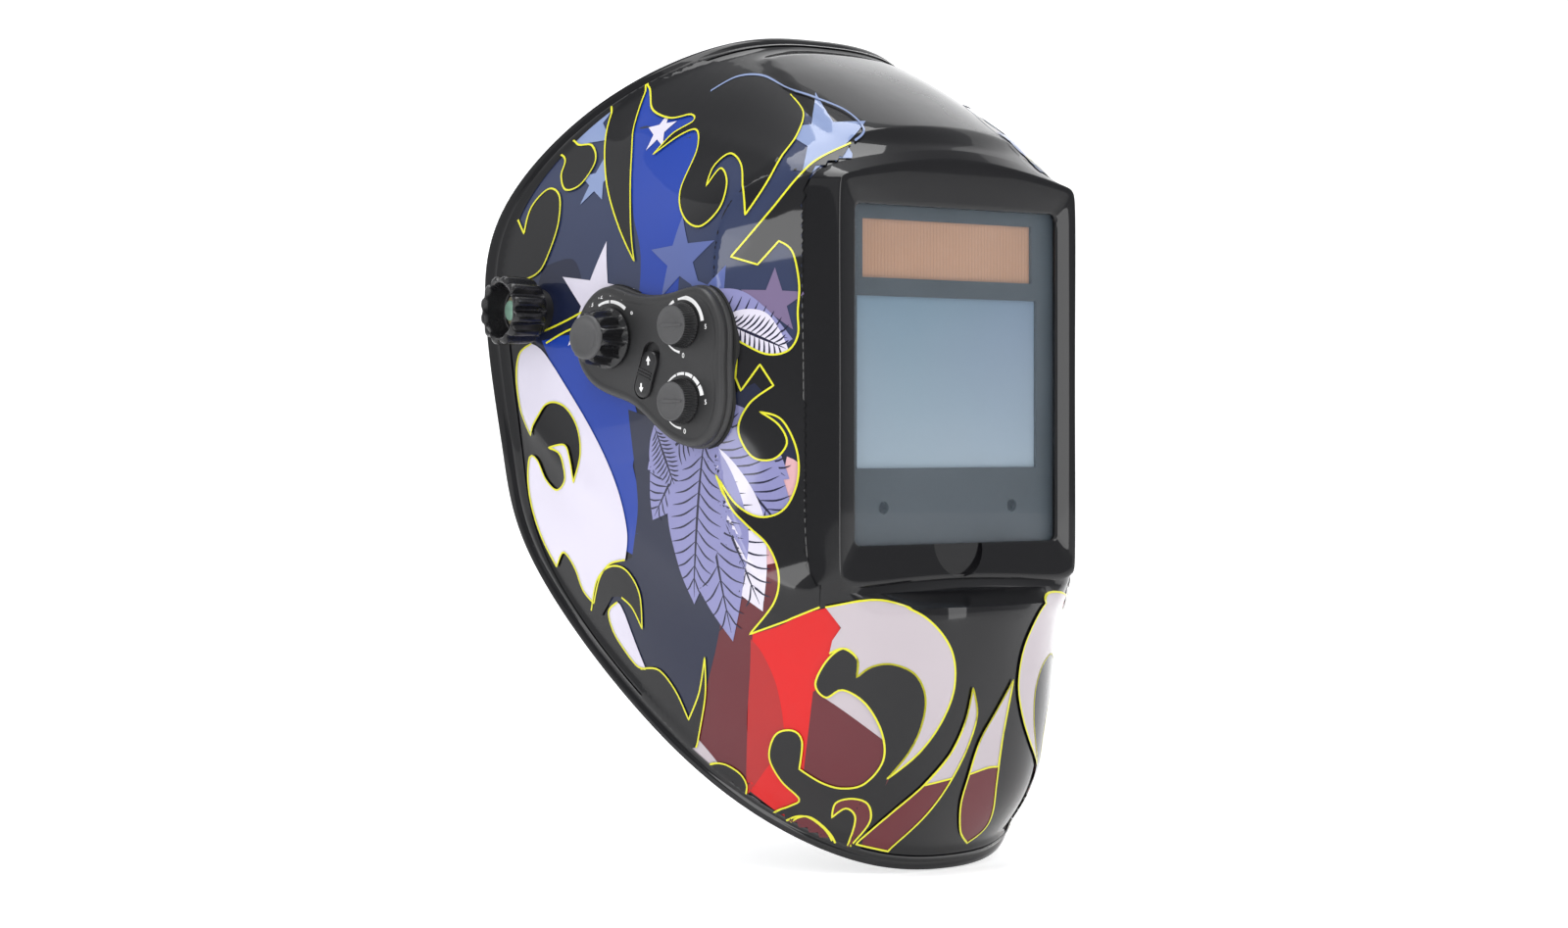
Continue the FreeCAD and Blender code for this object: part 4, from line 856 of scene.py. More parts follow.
# Shapes on the chin that differ from side to side.
CHIN = {
    "right": [
        ("maroon", [(7, -147, 1), (4, -158), (7, -171), (13, -184), (21, -197), (32, -211, 1), (46, -208, 1),
                       (34, -194), (22, -182), (14, -172), (9, -160)]),
        ("grey", [(7, -147, 1), (4, -158), (7, -171), (12, -182, 1), (24, -184, 1), (14, -172), (9, -160)]),
    ],
    "left": [
        ("maroon", [(12, -145, 1), (5, -157), (-1, -168), (-4, -181), (-5, -193), (0, -204), (8, -210, 1),
                       (15, -203), (11, -186), (10, -166)]),
        ("grey", [(12, -145, 1), (5, -157), (-1, -168), (-4, -181, 1), (5, -179), (10, -179, 1), (10, -166)]),
    ],
}

# Loose yellow or pale lines: (colour, width, points).
LINES = [
    ("yellow", 0.8, [(198, -8), (188, -5), (176, -1)]),
    ("yellow", 0.8, [(197, -13), (187, -9), (176, -6)]),
    ("star", 0.9, [(132, 87), (118, 93), (98, 93), (78, 87), (62, 82), (48, 76), (43, 68), (48, 63)]),
]

# (colour, s, z, radius, turn)
STARS = [("pale", 168, 3, 24, 0.45), ("haze", 119, 18, 17, 1.5), ("haze", 104, 2, 14, 0.7), ("plum", 81, 1, 13, 0.35),
         ("star", 60, 64, 21, 0.25), ("star", 203, 74, 18, 0.9), ("star", 182, 52, 11, 0.2), ("pale", 153, 71, 9, 0.2)]


def star(s, z, radius, turn):
    """A five-pointed star as an outline of sharp corners."""
    corners = []
    for i in range(10):
        reach = radius if i % 2 == 0 else radius * 0.4
        angle = turn + math.pi * i / 5
        corners.append((s + reach * math.cos(angle), z + reach * math.sin(angle), 1))
    return corners


def feather(s, z, length, turn, width=0.26):
    """A leaf-like feather as an outline."""
    shape = []
    for along, across in ((0, 0), (0.2, 0.6), (0.5, 1.0), (0.8, 0.55), (1, 0), (0.78, -0.5), (0.5, -0.85), (0.2, -0.6)):
        x, y = along * length, across * length * width
        spot = (s + x * math.cos(turn) - y * math.sin(turn), z + x * math.sin(turn) + y * math.cos(turn))
        shape.append((*spot, 1) if across == 0 else spot)
    return shape


# (colour, root s, root z, length, turn, width share), lowest first.
FEATHERS = [("lavender", 116, -38, 50, 3.75, 0.30), ("lavender", 112, -44, 62, 4.02, 0.27),
            ("lavender", 108, -46, 46, 5.35, 0.30), ("pale", 112, -48, 74, 4.34, 0.22),
            ("lavender", 110, -46, 84, 4.58, 0.20), ("lavender", 106, -46, 70, 4.86, 0.22),
            ("lavender", 104, -44, 38, 5.75, 0.30), ("lavender", 132, -46, 26, 4.3, 0.34),
            ("lavender", 120, -4, 47, 0.2 + math.pi, 0.36), ("pale", 101, -6, 28, 0.42 + math.pi, 0.4)]


FIELD_LAYER, STAR_LAYER, FEATHER_LAYER, EDGED_LAYER, LINE_LAYER = 0, 8, 9, 15, 23


def make_artwork(skin):
    """Print the artwork on both sides of the shell."""
    for side_name, side in SIGN.items():
        prints = {}

        def ink(colour):
            if colour not in prints:
                prints[colour] = Print(f"print_{colour}_{side_name}", MAT[colour])
            return prints[colour]

        for number, (colour, points) in enumerate(FIELDS):
            ink(colour).shape(skin, points, side, FIELD_LAYER + number / 2)
        for colour, *spot in STARS:
            ink(colour).shape(skin, star(*spot), side, STAR_LAYER)
        for number, (colour, *spot) in enumerate(FEATHERS):
            layer = FEATHER_LAYER + number / 2
            ink(colour).shape(skin, feather(*spot), side, layer)
            hatch_feather(ink("ink"), skin, spot, side, layer + 0.25)
        for number, (colour, edge, rest) in enumerate(EDGED):
            ink(colour).shape(skin, edge + rest, side, EDGED_LAYER + number / 2)
            ink("yellow").line(skin, edge, side, LINE_LAYER, closed=not rest)
        for number, (colour, points) in enumerate(CHIN[side_name]):
            ink(colour).shape(skin, points, side, EDGED_LAYER + number)
            ink("yellow").line(skin, points, side, LINE_LAYER)
        for colour, width, points in LINES:
            ink(colour).line(skin, points, side, LINE_LAYER, width, False)
        for printed in prints.values():
            printed.finish()


def hatch_feather(ink, skin, spot, side, layer):
    """A dark spine and barbs on one feather."""
    s, z, length, turn, width = spot
    along = np.array([math.cos(turn), math.sin(turn)])
    across = np.array([-along[1], along[0]])
    root = np.array([s, z], float)
    spine = [tuple(root + along * length * t) for t in (0.04, 0.35, 0.65, 0.96)]
    ink.line(skin, spine, side, layer, 1.1, False, True)
    for i in range(12):
        t = 0.1 + 0.068 * i
        for way in (-1, 1):
            reach = length * width * (0.86 if way > 0 else 0.72) * math.sin(math.pi * (t + 0.04)) ** 0.8
            start = root + along * length * t
            end = start + along * length * 0.1 + across * way * reach
            middle = (start + end) / 2 + along * length * 0.02
            ink.line(skin, [tuple(start), tuple(middle), tuple(end)], side, layer, 0.75, False, True)


# ---------------------------------------------------------------- turned and fluted pieces


def place_points(points, origin, x_axis, y_axis, z_axis):
    """Local millimetre points into the frame's metres."""
    return [(origin + x_axis * p[0] + y_axis * p[1] + z_axis * p[2]) * MM for p in points]


def fluted(name, profile, count, depth, power, origin, axes, material, around=288, fluted_from=0.0):
    """A turned piece whose profile is (radius, height, share of the flutes) and whose flutes are pressed in."""
    points = []
    for radius, height, share in profile:
        for j in range(around):
            angle = 2 * math.pi * j / around
            wave = 0.5 + 0.5 * math.cos(count * angle)
            reach = radius - depth * share * wave ** power
            points.append((reach * math.cos(angle), reach * math.sin(angle), height))
    faces = ring_faces(len(profile), around, False)
    if profile[0][0] < 0.01 or profile[-1][0] < 0.01:
        pass
    piece = mesh_object(name, place_points(points, origin, *axes), faces, material)
    outward_normals(piece)
    sharp_edges(piece, 42)
    return piece


def side_axes(sign):
    """Axes of a piece on the flip axis: its own z points out of that side."""
    return Vector((0, sign, 0)), Vector((0, 0, 1)), Vector((sign, 0, 0))


def make_tension_knobs():
    """The two scalloped knobs with deep cups."""
    profile = [(6.6, 112.5, 0), (11.6, 112.5, 0), (12.4, 112.9, 0.4), (13.0, 113.8, 0.8), (13.5, 116, 1), (13.9, 121, 1),
               (14.0, 126, 1), (13.8, 127.3, 0.9), (13.2, 128.1, 0.7), (12.4, 128.4, 0.45), (11.4, 128.2, 0.15),
               (10.9, 127.6, 0), (10.4, 126, 0), (9.7, 119.4, 0), (9.2, 118.9, 0), (6.6, 118.9, 0)]
    for side, sign in SIGN.items():
        knob = fluted(f"tension_grip_{side}", profile, 12, 2.4, 1.6, Vector((0, 0, 0)), side_axes(sign), MAT["knob"])
        settle(knob, f"tension_{side}", "black_plastic", f"tension_knob_{side}")


def make_pod_knobs():
    """The shade knob with its dished cap, and the two small knurled dials."""
    axes = (POD_FORE, Vector((0, 0, 1)), POD_OUT)
    grip = [(3, 0.3, 0), (12.0, 0.3, 0), (12.05, 1.4, 0), (11.6, 1.9, 0.2), (11.35, 2.6, 0.9), (11.0, 6, 1), (10.5, 9.6, 1),
            (10.1, 11, 0.9), (9.6, 11.9, 0.6), (8.9, 12.3, 0.2), (8.6, 12.3, 0)]
    x, y = DIALS["shade"]
    origin = POD_ORIGIN + POD_FORE * x + Vector((0, 0, y))
    knob = fluted("shade_grip", grip, 12, 2.0, 0.7, origin, axes, MAT["knob"])
    settle(knob, "shade", "pod_plastic", "shade_knob")
    cap = [(8.75, 12.1, 0), (8.6, 12.9, 0), (8.2, 13.4, 0), (7.4, 13.6, 0), (6.6, 13.4, 0), (6.0, 12.9, 0), (4.5, 12.5, 0),
           (2.5, 12.35, 0), (0.01, 12.3, 0)]
    top = fluted("shade_dish", cap, 12, 0, 1, origin, axes, MAT["dial_top"])
    settle(top, "shade", "pod_plastic", "shade_knob_cap")
    for name in ("sensitivity", "delay"):
        x, y = DIALS[name]
        origin = POD_ORIGIN + POD_FORE * x + Vector((0, 0, y))
        rim = [(3, 0.3, 0), (8.75, 0.3, 0), (8.8, 0.8, 0.5), (8.6, 1.2, 1), (8.2, 3.4, 1), (7.75, 5.6, 1), (7.6, 5.9, 0.6),
               (7.4, 6.15, 0)]
        dial = fluted(f"{name}_grip", rim, 48, 0.42, 1, origin, axes, MAT["dial"], 576)
        settle(dial, name, "pod_plastic", f"{name}_knob")
        face = [(7.42, 6.14, 0), (7.2, 6.28, 0), (6.9, 6.34, 0), (6.7, 6.26, 0), (4, 6.24, 0), (0.01, 6.22, 0)]
        disc = fluted(f"{name}_face", face, 12, 0, 1, origin, axes, MAT["dial_top"], 96)
        settle(disc, name, "pod_plastic")
        pointer = pointer_mark(f"{name}_pointer", origin, axes, 6.3)
        settle(pointer, name, "pod_plastic")


def pointer_mark(name, origin, axes, height):
    """A raised wedge that points at the dial's scale."""
    flat = [(-6.3, 0.0), (-3.6, 0.9), (5.6, 0.55), (6.0, 0), (5.6, -0.55), (-3.6, -0.9)]
    count = len(flat)
    points = [(x, y, height - 0.3) for x, y in flat] + [(x * 0.96, y * 0.7, height + 0.28) for x, y in flat]
    faces = [(i, (i + 1) % count, count + (i + 1) % count, count + i) for i in range(count)]
    faces.append(tuple(range(count, 2 * count)))
    return mesh_object(name, place_points(points, origin, *axes), faces, MAT["dial_top"], False)


# ---------------------------------------------------------------- control pod


def pod_ring(inset, count=200):
    """The pod's outline moved in by a distance, in the pod's own plane."""
    points = np.array([(x, y, 0) for x, y in POD_EDGE], float)
    steps = np.linalg.norm(np.roll(points, -1, axis=0) - points, axis=1)
    spacing = np.concatenate([[0], np.cumsum(steps)])
    ring = closed_spline(points, spacing, count)
    run = np.roll(ring, -1, axis=0) - np.roll(ring, 1, axis=0)
    run /= np.linalg.norm(run, axis=1)[:, None]
    inward = np.stack([-run[:, 1], run[:, 0], np.zeros(count)], axis=1)
    return ring + inward * inset


def pod_point(x, y, z):
    """A point in the pod's own axes, in the frame's metres."""
    return (POD_ORIGIN + POD_FORE * x + Vector((0, 0, y)) + POD_OUT * z) * MM


def round_bar(width, tall, x, y, tilt, count=14):
    """A round-ended bar as a closed outline in the pod's plane."""
    radius = width / 2
    reach = tall / 2 - radius
    outline = []
    for end in (1, -1):
        for i in range(count + 1):
            angle = math.pi * i / count + (0 if end == 1 else math.pi)
            outline.append((radius * math.cos(angle), end * reach + radius * math.sin(angle)))
    c, s = math.cos(tilt), math.sin(tilt)
    return [(x + px * c - py * s, y + px * s + py * c) for px, py in outline]


def pod_prism(name, layers, material, smooth=True):
    """A closed body from outlines at rising heights: (outline, height) layers in the pod's axes."""
    count = len(layers[0][0])
    points = [pod_point(x, y, height) for outline, height in layers for x, y in outline]
    faces = ring_faces(len(layers), count, False)
    faces.append(tuple(range(count)))
    last = (len(layers) - 1) * count
    faces.append(tuple(range(last, last + count)))
    piece = mesh_object(name, points, faces, material, smooth)
    outward_normals(piece)
    sharp_edges(piece, 40)
    return piece


SWITCH_TILT = math.radians(-20)


def make_pod():
    """The pod's cover with its lip, slot and printed scales, and the range switch."""
    layers = []
    for inset, height in ((0.2, -6.5), (-0.3, -6.2), (-0.35, -4.6), (0.0, -4.1), (0.5, -3.9), (0.45, -3.6), (0.3, -3.0),
                          (0.3, -1.8), (0.6, -0.9), (1.3, -0.25), (2.3, 0.0), (3.1, -0.05), (3.6, -0.25), (4.0, -0.3)):
        ring = pod_ring(inset)
        layers.append(([(x, y) for x, y, _ in ring], height))
    cover = pod_prism("pod_cover", layers, MAT["pod"])
    slot = [(round_bar(9.4, 23, -19.2, -2.5, SWITCH_TILT), -2.4), (round_bar(9.4, 23, -19.2, -2.5, SWITCH_TILT), 2)]
    subtract(cover, pod_prism("slot_cutter", slot, MAT["pod"]))
    sharp_edges(cover, 40)
    settle(cover, "shell", "pod_plastic", "pod_housing")
    run_x, run_y = 1.5 * math.sin(SWITCH_TILT), -1.5 * math.cos(SWITCH_TILT)
    middle = (-19.2 + run_x * -1, -2.5 + run_y)
    lower = []
    for shrink, height in ((0.1, -2.3), (0, 0.4), (0.25, 1.0), (0.7, 1.35), (1.4, 1.5)):
        lower.append((round_bar(8.6 - shrink * 2, 19 - shrink * 2, *middle, SWITCH_TILT), height))
    switch = pod_prism("range_button", lower, MAT["dial"])
    settle(switch, "range", "pod_plastic", "range_switch")
    for number, off in enumerate((-1.2, 0.0, 1.2)):
        bar = round_bar(0.7, 7.2, middle[0] - off * math.sin(SWITCH_TILT), middle[1] + off * math.cos(SWITCH_TILT),
                        SWITCH_TILT + math.pi / 2)
        rib = pod_prism(f"range_rib_{number}", [(bar, 1.2), (bar, 1.85)], MAT["dial"])
        settle(rib, "range", "pod_plastic")
    for number, off in enumerate((-5.6, 5.6)):
        spot = (middle[0] - off * math.sin(SWITCH_TILT), middle[1] + off * math.cos(SWITCH_TILT))
        way = 1 if off > 0 else -1
        arrow = [(spot[0], spot[1] + way * 1.7), (spot[0] + 1.2, spot[1] - way * 0.2), (spot[0] + 0.4, spot[1] - way * 0.2),
                 (spot[0] + 0.4, spot[1] - way * 1.8), (spot[0] - 0.4, spot[1] - way * 1.8),
                 (spot[0] - 0.4, spot[1] - way * 0.2), (spot[0] - 1.2, spot[1] - way * 0.2)]
        mark = pod_prism(f"range_arrow_{number}", [(arrow, 1.3), (arrow, 1.56)], MAT["print"], False)
        settle(mark, "range", "pod_plastic")
    make_scales()


PRINT_LOW, PRINT_HIGH = -0.34, -0.24


def arc_band(centre, radius, start, end, width_start, width_end, parts=28):
    """A printed arc whose width changes from one end to the other, as a closed outline."""
    outer, inner = [], []
    for i in range(parts + 1):
        t = i / parts
        angle = math.radians(start + (end - start) * t)
        half = (width_start + (width_end - width_start) * t) / 2
        for line, reach in ((outer, radius + half), (inner, radius - half)):
            line.append((centre[0] + reach * math.cos(angle), centre[1] + reach * math.sin(angle)))
    return outer + inner[::-1]


def flat_print(name, outlines):
    """White print on the pod's face, as one thin mesh of several outlines."""
    points, faces = [], []
    for outline in outlines:
        count = len(outline)
        half = count // 2
        first = len(points)
        points += [pod_point(x, y, PRINT_HIGH) for x, y in outline]
        for i in range(half - 1):
            faces.append((first + i, first + i + 1, first + count - 2 - i, first + count - 1 - i))
    piece = mesh_object(name, points, faces, MAT["print"], False)
    settle(piece, "shell", "pod_plastic")


def digit(name, text, x, y, size, turn=0.0):
    """One printed number on the pod's face. Its outline is made solid as a thin mesh."""
    curve = bpy.data.curves.new(name, "FONT")
    curve.body = text
    curve.size = size * MM
    curve.align_x = "CENTER"
    curve.align_y = "CENTER"
    curve.offset = 0.00003
    words = bpy.data.objects.new(name + "_line", curve)
    bpy.context.scene.collection.objects.link(words)
    bpy.context.view_layer.update()
    graph = bpy.context.evaluated_depsgraph_get()
    mesh = bpy.data.meshes.new_from_object(words.evaluated_get(graph))
    bpy.data.objects.remove(words)
    across, up = POD_FORE, Vector((0, 0, 1))
    turned = (across * math.cos(turn) + up * math.sin(turn), up * math.cos(turn) - across * math.sin(turn))
    matrix = Matrix((turned[0], turned[1], POD_OUT)).transposed().to_4x4()
    matrix.translation = pod_point(x, y, PRINT_HIGH)
    mesh.transform(matrix)
    mesh.materials.clear()
    mesh.materials.append(MAT["print"])
    piece = bpy.data.objects.new(name, mesh)
    bpy.context.scene.collection.objects.link(piece)
    settle(piece, "shell", "pod_plastic")


def make_scales():
    """The printed scale and generic numbers round each knob."""
    shade, upper, lower = DIALS["shade"], DIALS["sensitivity"], DIALS["delay"]
    bands = []
    for start, end, wide_start, wide_end in ((52, 88, 1.5, 1.2), (91, 116, 1.2, 0.9)):
        bands.append(arc_band(shade, 14.2, start, end, wide_start, wide_end))
    bands.append(arc_band(upper, 10.6, 8, 104, 1.7, 1.5))
    bands.append(arc_band(upper, 10.4, 116, 158, 1.2, 0.3))
    bands.append(arc_band(upper, 10.3, 205, 262, 0.25, 1.0))
    for first, last in ((12, 34), (37, 58), (61, 82), (85, 106), (109, 146)):
        taper = 1.9 - (first - 12) / 100
        bands.append(arc_band(lower, 10.6, first, last, taper, 0.5 if first == 109 else taper - 0.2))
    bands.append(arc_band(lower, 10.3, 212, 266, 0.25, 0.9))
    flat_print("scale_prints", bands)
    marks = (("9", 36, 15.2), ("10", 64, 17.2), ("11", 86, 17.2), ("12", 108, 17.2), ("13", 128, 17.0))
    for text, angle, reach in marks:
        way = math.radians(angle)
        digit(f"shade_{text}", text, shade[0] + reach * math.cos(way), shade[1] + reach * math.sin(way), 2.9)
    for number, (text, dial, angle, reach) in enumerate((("5", upper, -4, 12.3), ("0", upper, 272, 11.6),
                                                         ("5", lower, -2, 12.3), ("0", lower, 276, 11.6))):
        way = math.radians(angle)
        digit(f"dial_{number}", text, dial[0] + reach * math.cos(way), dial[1] + reach * math.sin(way), 2.6)


# ---------------------------------------------------------------- soft pads


def arc_pad(name, line, thick, low, high, material):
    """A pad along a line in plan, as a closed box-like form with many faces."""
    line = np.array(line, float)
    rows = len(line)
    run = np.gradient(line, axis=0)
    run /= np.linalg.norm(run, axis=1)[:, None]
    off = np.stack([-run[:, 1], run[:, 0]], axis=1)
    section = [(-1, -1), (-1, 0), (-1, 1), (0, 1), (1, 1), (1, 0), (1, -1), (0, -1)]
    points = []
    for i in range(rows):
        for across, up in section:
            spot = line[i] + off[i] * across * thick / 2
            points.append((spot[0] * MM, spot[1] * MM, ((low + high) / 2 + up * (high - low) / 2) * MM))
    count = len(section)
    faces = ring_faces(rows, count, False)
    faces.append(tuple(range(count)))
    faces.append(tuple(range((rows - 1) * count, rows * count)))
    piece = mesh_object(name, points, faces, material)
    outward_normals(piece)
    return piece


def inflate(piece, voxel, pressure, cap):
    """Swell a closed form as stuffed cloth does, by simulation, and keep the result."""
    remesh = piece.modifiers.new("remesh", "REMESH")
    remesh.mode = "VOXEL"
    remesh.voxel_size = voxel
    bpy.context.view_layer.update()
    apply_modifiers(piece)
    start = np.array([v.co for v in piece.data.vertices], float)
    cloth = piece.modifiers.new("cloth", "CLOTH")
    cloth.settings.use_pressure = True
    cloth.settings.uniform_pressure_force = pressure
    cloth.settings.effector_weights.gravity = 0
    cloth.settings.quality = 4
    cloth.point_cache.frame_start = 1
    cloth.point_cache.frame_end = 20
    for number in range(1, 21):
        bpy.context.scene.frame_set(number)
    apply_modifiers(piece)
    moved = np.array([v.co for v in piece.data.vertices], float)
    shift = moved - start
    length = np.linalg.norm(shift, axis=1)
    shift *= (np.minimum(length, cap) / np.maximum(length, 1e-9))[:, None]
    piece.data.vertices.foreach_set("co", (start + shift).astype(np.float32).ravel())
    piece.data.update()
    bpy.context.scene.frame_set(1)
    smooth = piece.modifiers.new("smooth", "SMOOTH")
    smooth.iterations = 3
    smooth.factor = 0.5
    finer = piece.modifiers.new("finer", "SUBSURF")
    finer.levels = finer.render_levels = 1
    bpy.context.view_layer.update()
    apply_modifiers(piece)
    piece.data.polygons.foreach_set("use_smooth", [True] * len(piece.data.polygons))


def stitch_channels(piece, places, along, depth):
    """Press sewn channels into a pad where a coordinate has the given values."""
    for vertex in piece.data.vertices:
        where = along(vertex.co)
        dip = sum(math.exp(-((where - place) / 1.3) ** 2) for place in places)
        normal = vertex.normal.copy()
        vertex.co -= normal * min(dip, 1) * depth * MM
    piece.data.update()


def make_pads():
    """The brow's sweatband and the pad at the nape."""
    low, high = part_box("sweatband")
    plan = [(-58, -52), (-46, -62), (-26, -71.5), (0, -75.5), (26, -71.5), (46, -62), (58, -52)]
    line = closed_or_open(plan, 40)
    brow = arc_pad("brow_pad", line, 5.0, low.z / MM + 1.5, high.z / MM - 1.5, MAT["pad"])
    inflate(brow, 0.0032, 4, 0.0022)
    stitch_channels(brow, (-48, -32, -16, 0, 16, 32, 48), lambda co: co.x / MM, 1.1)
    settle(brow, "headgear", "sweat_fabric", "sweatband")
    low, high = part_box("nape_pad")
    middle = (low + high) / 2 / MM
    reach = (high - low) / 2 / MM
    line = [(middle.x + (reach.x - 3) * t, middle.y) for t in np.linspace(-1, 1, 24)]
    nape = arc_pad("nape_cushion", line, 4.0, low.z / MM + 2, high.z / MM - 2, MAT["pad"])
    inflate(nape, 0.0032, 4, 0.0016)
    stitch_channels(nape, (-18, 0, 18), lambda co: co.x / MM, 0.8)
    settle(nape, "adjuster", "sweat_fabric", "nape_pad")


def closed_or_open(plan, count):
    """Evenly spread points on a smooth open line through a plan's points."""
    path = []
    for i in range(len(plan) - 1):
        p1, p2 = np.array(plan[i], float), np.array(plan[i + 1], float)
        p0 = np.array(plan[i - 1], float) if i else 2 * p1 - p2
        p3 = np.array(plan[i + 2], float) if i + 2 < len(plan) else 2 * p2 - p1
        for t in np.linspace(0, 1, 12, endpoint=False):
            spot = 2 * p1 + (p2 - p0) * t + (2 * p0 - 5 * p1 + 4 * p2 - p3) * t ** 2
            path.append((spot + (3 * p1 - p0 - 3 * p2 + p3) * t ** 3) * 0.5)
    path.append(np.array(plan[-1], float))
    path = np.array(path)
    travelled = np.concatenate([[0], np.cumsum(np.linalg.norm(np.diff(path, axis=0), axis=1))])
    places = np.linspace(0, travelled[-1], count)
    return np.stack([np.interp(places, travelled, path[:, k]) for k in (0, 1)], axis=1)


# ---------------------------------------------------------------- headgear details


def make_ratchet_grip():
    """The ratchet's grip, with rounded lobes and a shallow dish."""
    low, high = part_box("ratchet_knob")
    start = low.y / MM
    profile = [(4, 0.2, 0), (18.2, 0.2, 0), (19.3, 0.8, 0.3), (19.7, 2, 0.9), (19.4, 7, 1), (18.4, 11.6, 1), (17.4, 13.6, 0.8),
               (15.8, 14.7, 0.4), (13.5, 15.0, 0.1), (11, 14.6, 0), (8, 13.9, 0), (4, 13.6, 0), (0.01, 13.5, 0)]
    axes = (Vector((1, 0, 0)), Vector((0, 0, -1)), Vector((0, 1, 0)))
    centre = (low + high) / 2 / MM
    origin = Vector((centre.x, start, centre.z))
    grip = fluted("ratchet_grip", profile, 14, 1.9, 1.2, origin, axes, MAT["black"])
    settle(grip, "ratchet", "black_plastic", "ratchet_knob")


def make_rear_bands():
    """The two rear bands: their CAD form with rounded edges, in place of the CAD nodes."""
    for side in SIGN:
        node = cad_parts[f"rear_band_{side}"]
        band = bpy.data.objects.new(f"rear_strap_{side}", node.data.copy())
        band.matrix_world = node.matrix_world.copy()
        bpy.context.scene.collection.objects.link(band)
        band.data.materials.clear()
        band.data.materials.append(MAT["bands"])
        round_edges(band, 0.5)
        bpy.context.view_layer.update()
        apply_modifiers(band)
        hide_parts(f"rear_band_{side}")
        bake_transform(band)


# ---------------------------------------------------------------- carried CAD nodes

NODE_LOOKS = {
    "cover_lens": "clear", "inner_cover_lens": "clear", "lens_gasket": "rubber",
    "filter_housing": "filter", "filter_back_cover": "filter", "solar_panel": "solar",
    "uv_ir_filter": "glass", "lcd_stack": "glass", "control_board": "board", "arc_sensors": "dark_glass",
    "test_button": "dial", "cartridge_holder": "black", "holder_screws": "zinc",
    "holder_latch_right": "dial", "holder_latch_left": "dial",
    "pivot_bushing_right": "black", "pivot_bushing_left": "black",
    "slider_block_right": "bands", "slider_block_left": "bands",
    "tilt_stop_right": "black", "tilt_stop_left": "black", "pivot_studs": "bolt",
    "friction_washers": "rubber", "knob_insert_right": "brass", "knob_insert_left": "brass",
    "pod_gasket": "rubber", "pod_base": "black", "pod_circuit_board": "board",
    "potentiometers": "zinc", "switch_body": "black", "pod_screws": "zinc",
    "shade_shaft": "dial_top", "sensitivity_shaft": "dial_top", "delay_shaft": "dial_top",
    "battery_tray": "dial", "coin_battery": "zinc", "head_band": "bands",
    "crown_strap_right": "bands", "crown_strap_left": "bands", "strap_peg": "black", "crown_strap_rear": "bands",
    "band_rivets": "black", "adjuster_housing": "bands", "adjuster_cover": "bands",
    "ratchet_pinion": "black",
}


# How wide, in millimetres, the moulded edges of these nodes are rounded.
BEVELS = {"filter_housing": 0.5, "solar_panel": 0.2, "lcd_stack": 0.2, "cartridge_holder": 0.4, "pod_base": 0.3,
          "head_band": 0.5, "crown_strap_right": 0.5, "crown_strap_left": 0.5, "crown_strap_rear": 0.5,
          "slider_block_right": 0.5, "slider_block_left": 0.5,
          "tilt_stop_right": 0.4, "tilt_stop_left": 0.4, "adjuster_housing": 0.6, "adjuster_cover": 0.5,
          "holder_latch_right": 0.4, "holder_latch_left": 0.4, "pivot_studs": 0.2, "battery_tray": 0.3}


def round_edges(piece, width):
    """Round a piece's sharp edges by a width in millimetres, with a modifier."""
    bevel = piece.modifiers.new("edge", "BEVEL")
    bevel.width = width * MM
    bevel.segments = 2
    bevel.limit_method = "ANGLE"
    bevel.angle_limit = math.radians(50)


def dress_nodes():
    """Give every CAD node that stays its own finished material."""
    for name, look in NODE_LOOKS.items():
        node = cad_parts[name]
        node.data.materials.clear()
        node.data.materials.append(MAT[look])
    for name, width in BEVELS.items():
        round_edges(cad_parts[name], width)


# ---------------------------------------------------------------- floor, lights and camera


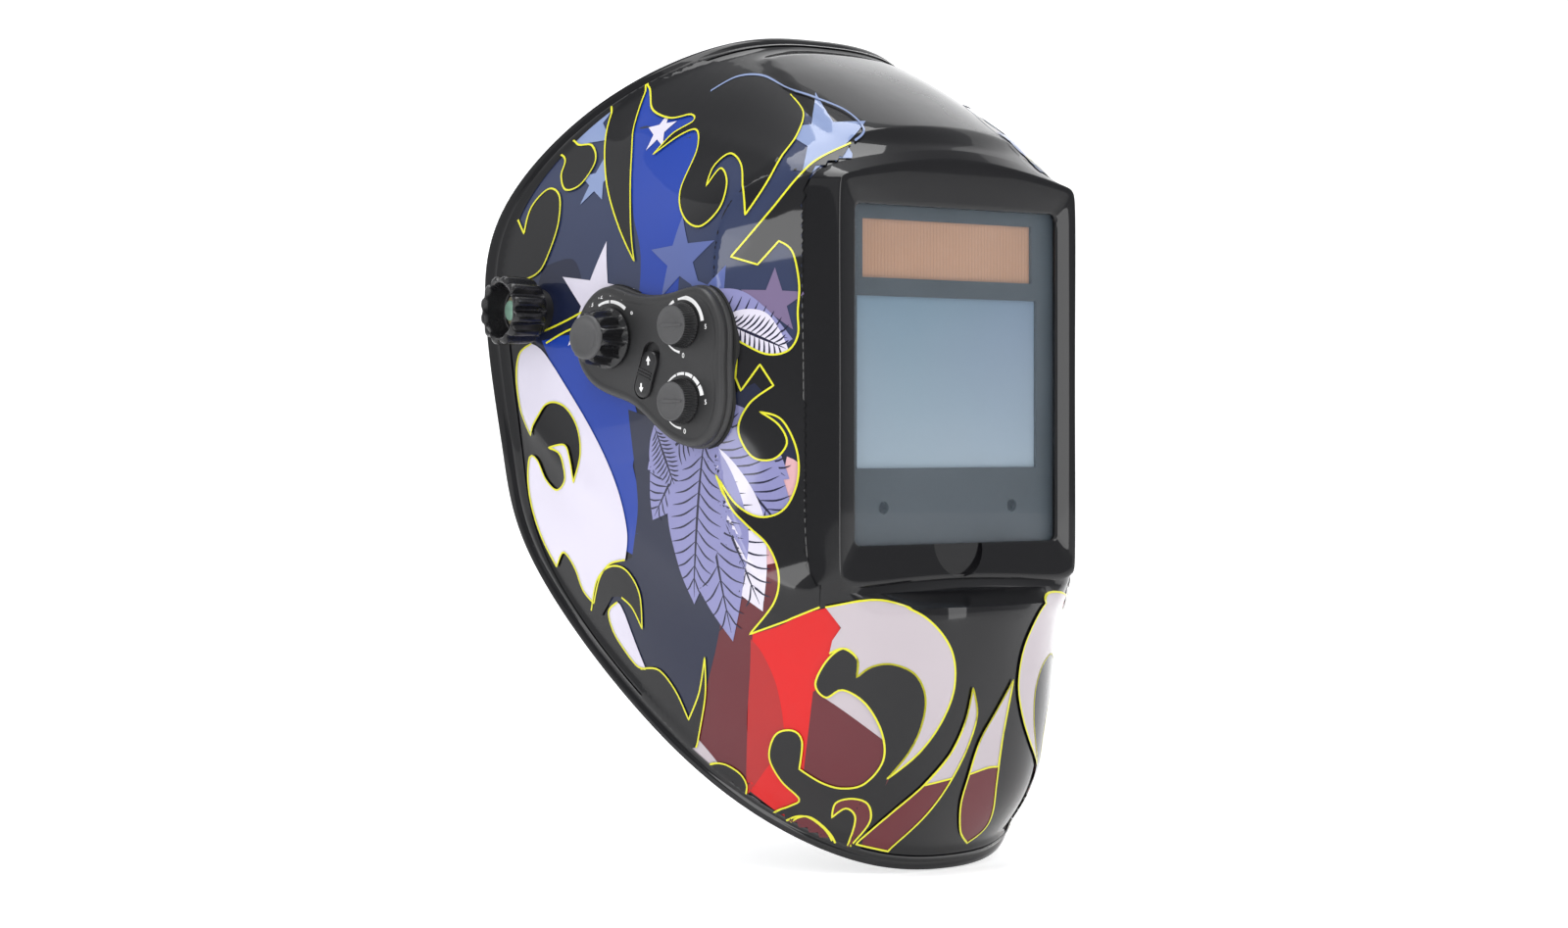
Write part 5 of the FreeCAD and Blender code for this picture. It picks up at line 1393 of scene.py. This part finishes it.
def make_floor():
    """A pale floor that curves up into a backdrop."""
    low = CAD_BOX[0].z - 0.0005
    points, faces = [], []
    rows = [(-3.0, 0), (1.4, 0)]
    for i in range(1, 13):
        angle = math.pi / 2 * i / 12
        rows.append((1.4 + 1.2 * math.sin(angle), 1.2 * (1 - math.cos(angle))))
    rows.append((2.6, 5))
    forward = Vector((0.607, 0.794, 0))
    across = Vector((0.794, -0.607, 0))
    for away, up in rows:
        for side in (-5, 5):
            points.append(forward * away + across * side + Vector((0, 0, low + up)))
    for i in range(len(rows) - 1):
        faces.append((2 * i, 2 * i + 1, 2 * i + 3, 2 * i + 2))
    material, nodes, links, shader = new_material("floor_pale")
    colour_noise(nodes, links, shader, (0.86, 0.86, 0.86), (0.9, 0.9, 0.9), 3)
    shader.inputs["Roughness"].default_value = 0.7
    shader.inputs["Emission Color"].default_value = (1, 1, 1, 1)
    shader.inputs["Emission Strength"].default_value = 0.5
    floor = mesh_object("floor", points, faces, material)


def area_light(name, spot, target, width, tall, power, colour=(1, 1, 1)):
    """A rectangular soft light that faces a target."""
    data = bpy.data.lights.new(name, "AREA")
    data.shape = "RECTANGLE"
    data.size = width
    data.size_y = tall
    data.energy = power
    data.color = colour
    light = bpy.data.objects.new(name, data)
    light.location = spot
    way = Vector(target) - Vector(spot)
    light.rotation_euler = way.to_track_quat("-Z", "Y").to_euler()
    bpy.context.scene.collection.objects.link(light)
    return light


def make_lights():
    """Soft studio light: a large one overhead, a strip each side and a low fill."""
    middle = (0, -0.05, -0.05)
    area_light("top_light", (-0.25, -0.15, 1.35), middle, 0.7, 1.5, 15)
    area_light("left_strip", (-1.25, -1.05, 0.25), middle, 0.22, 1.5, 5.5)
    area_light("rear_left_wall", (-1.7, 0.9, 0.3), middle, 2.6, 2.6, 9)
    area_light("right_strip", (0.45, -1.6, 0.15), middle, 0.3, 1.5, 5)
    area_light("front_fill", (-0.9, -2.6, 2.2), middle, 4.5, 3.0, 30)
    world = bpy.data.worlds.new("studio")
    bpy.context.scene.world = world
    world.use_nodes = True
    nodes, links = world.node_tree.nodes, world.node_tree.links
    back = nodes["Background"]
    back.inputs["Color"].default_value = (0.96, 0.97, 1, 1)
    back.inputs["Strength"].default_value = 0.45


def make_camera():
    """The camera at the photograph's viewing angle."""
    data = bpy.data.cameras.new("camera")
    data.lens = 67.6
    data.sensor_width = 36
    data.shift_y = -0.0216
    data.clip_start = 0.05
    camera = bpy.data.objects.new("camera", data)
    camera.location = (-0.753, -1.006, -0.048)
    way = Vector((0.607, 0.794, 0))
    camera.rotation_euler = way.to_track_quat("-Z", "Y").to_euler()
    bpy.context.scene.collection.objects.link(camera)
    bpy.context.scene.camera = camera


make_camera()
bpy.context.scene.view_settings.view_transform = "Standard"
dress_nodes()
shell_skin = make_shell()
make_artwork(shell_skin)
make_pod()
make_pod_knobs()
make_tension_knobs()
make_ratchet_grip()
make_rear_bands()
make_pads()
make_floor()
make_lights()
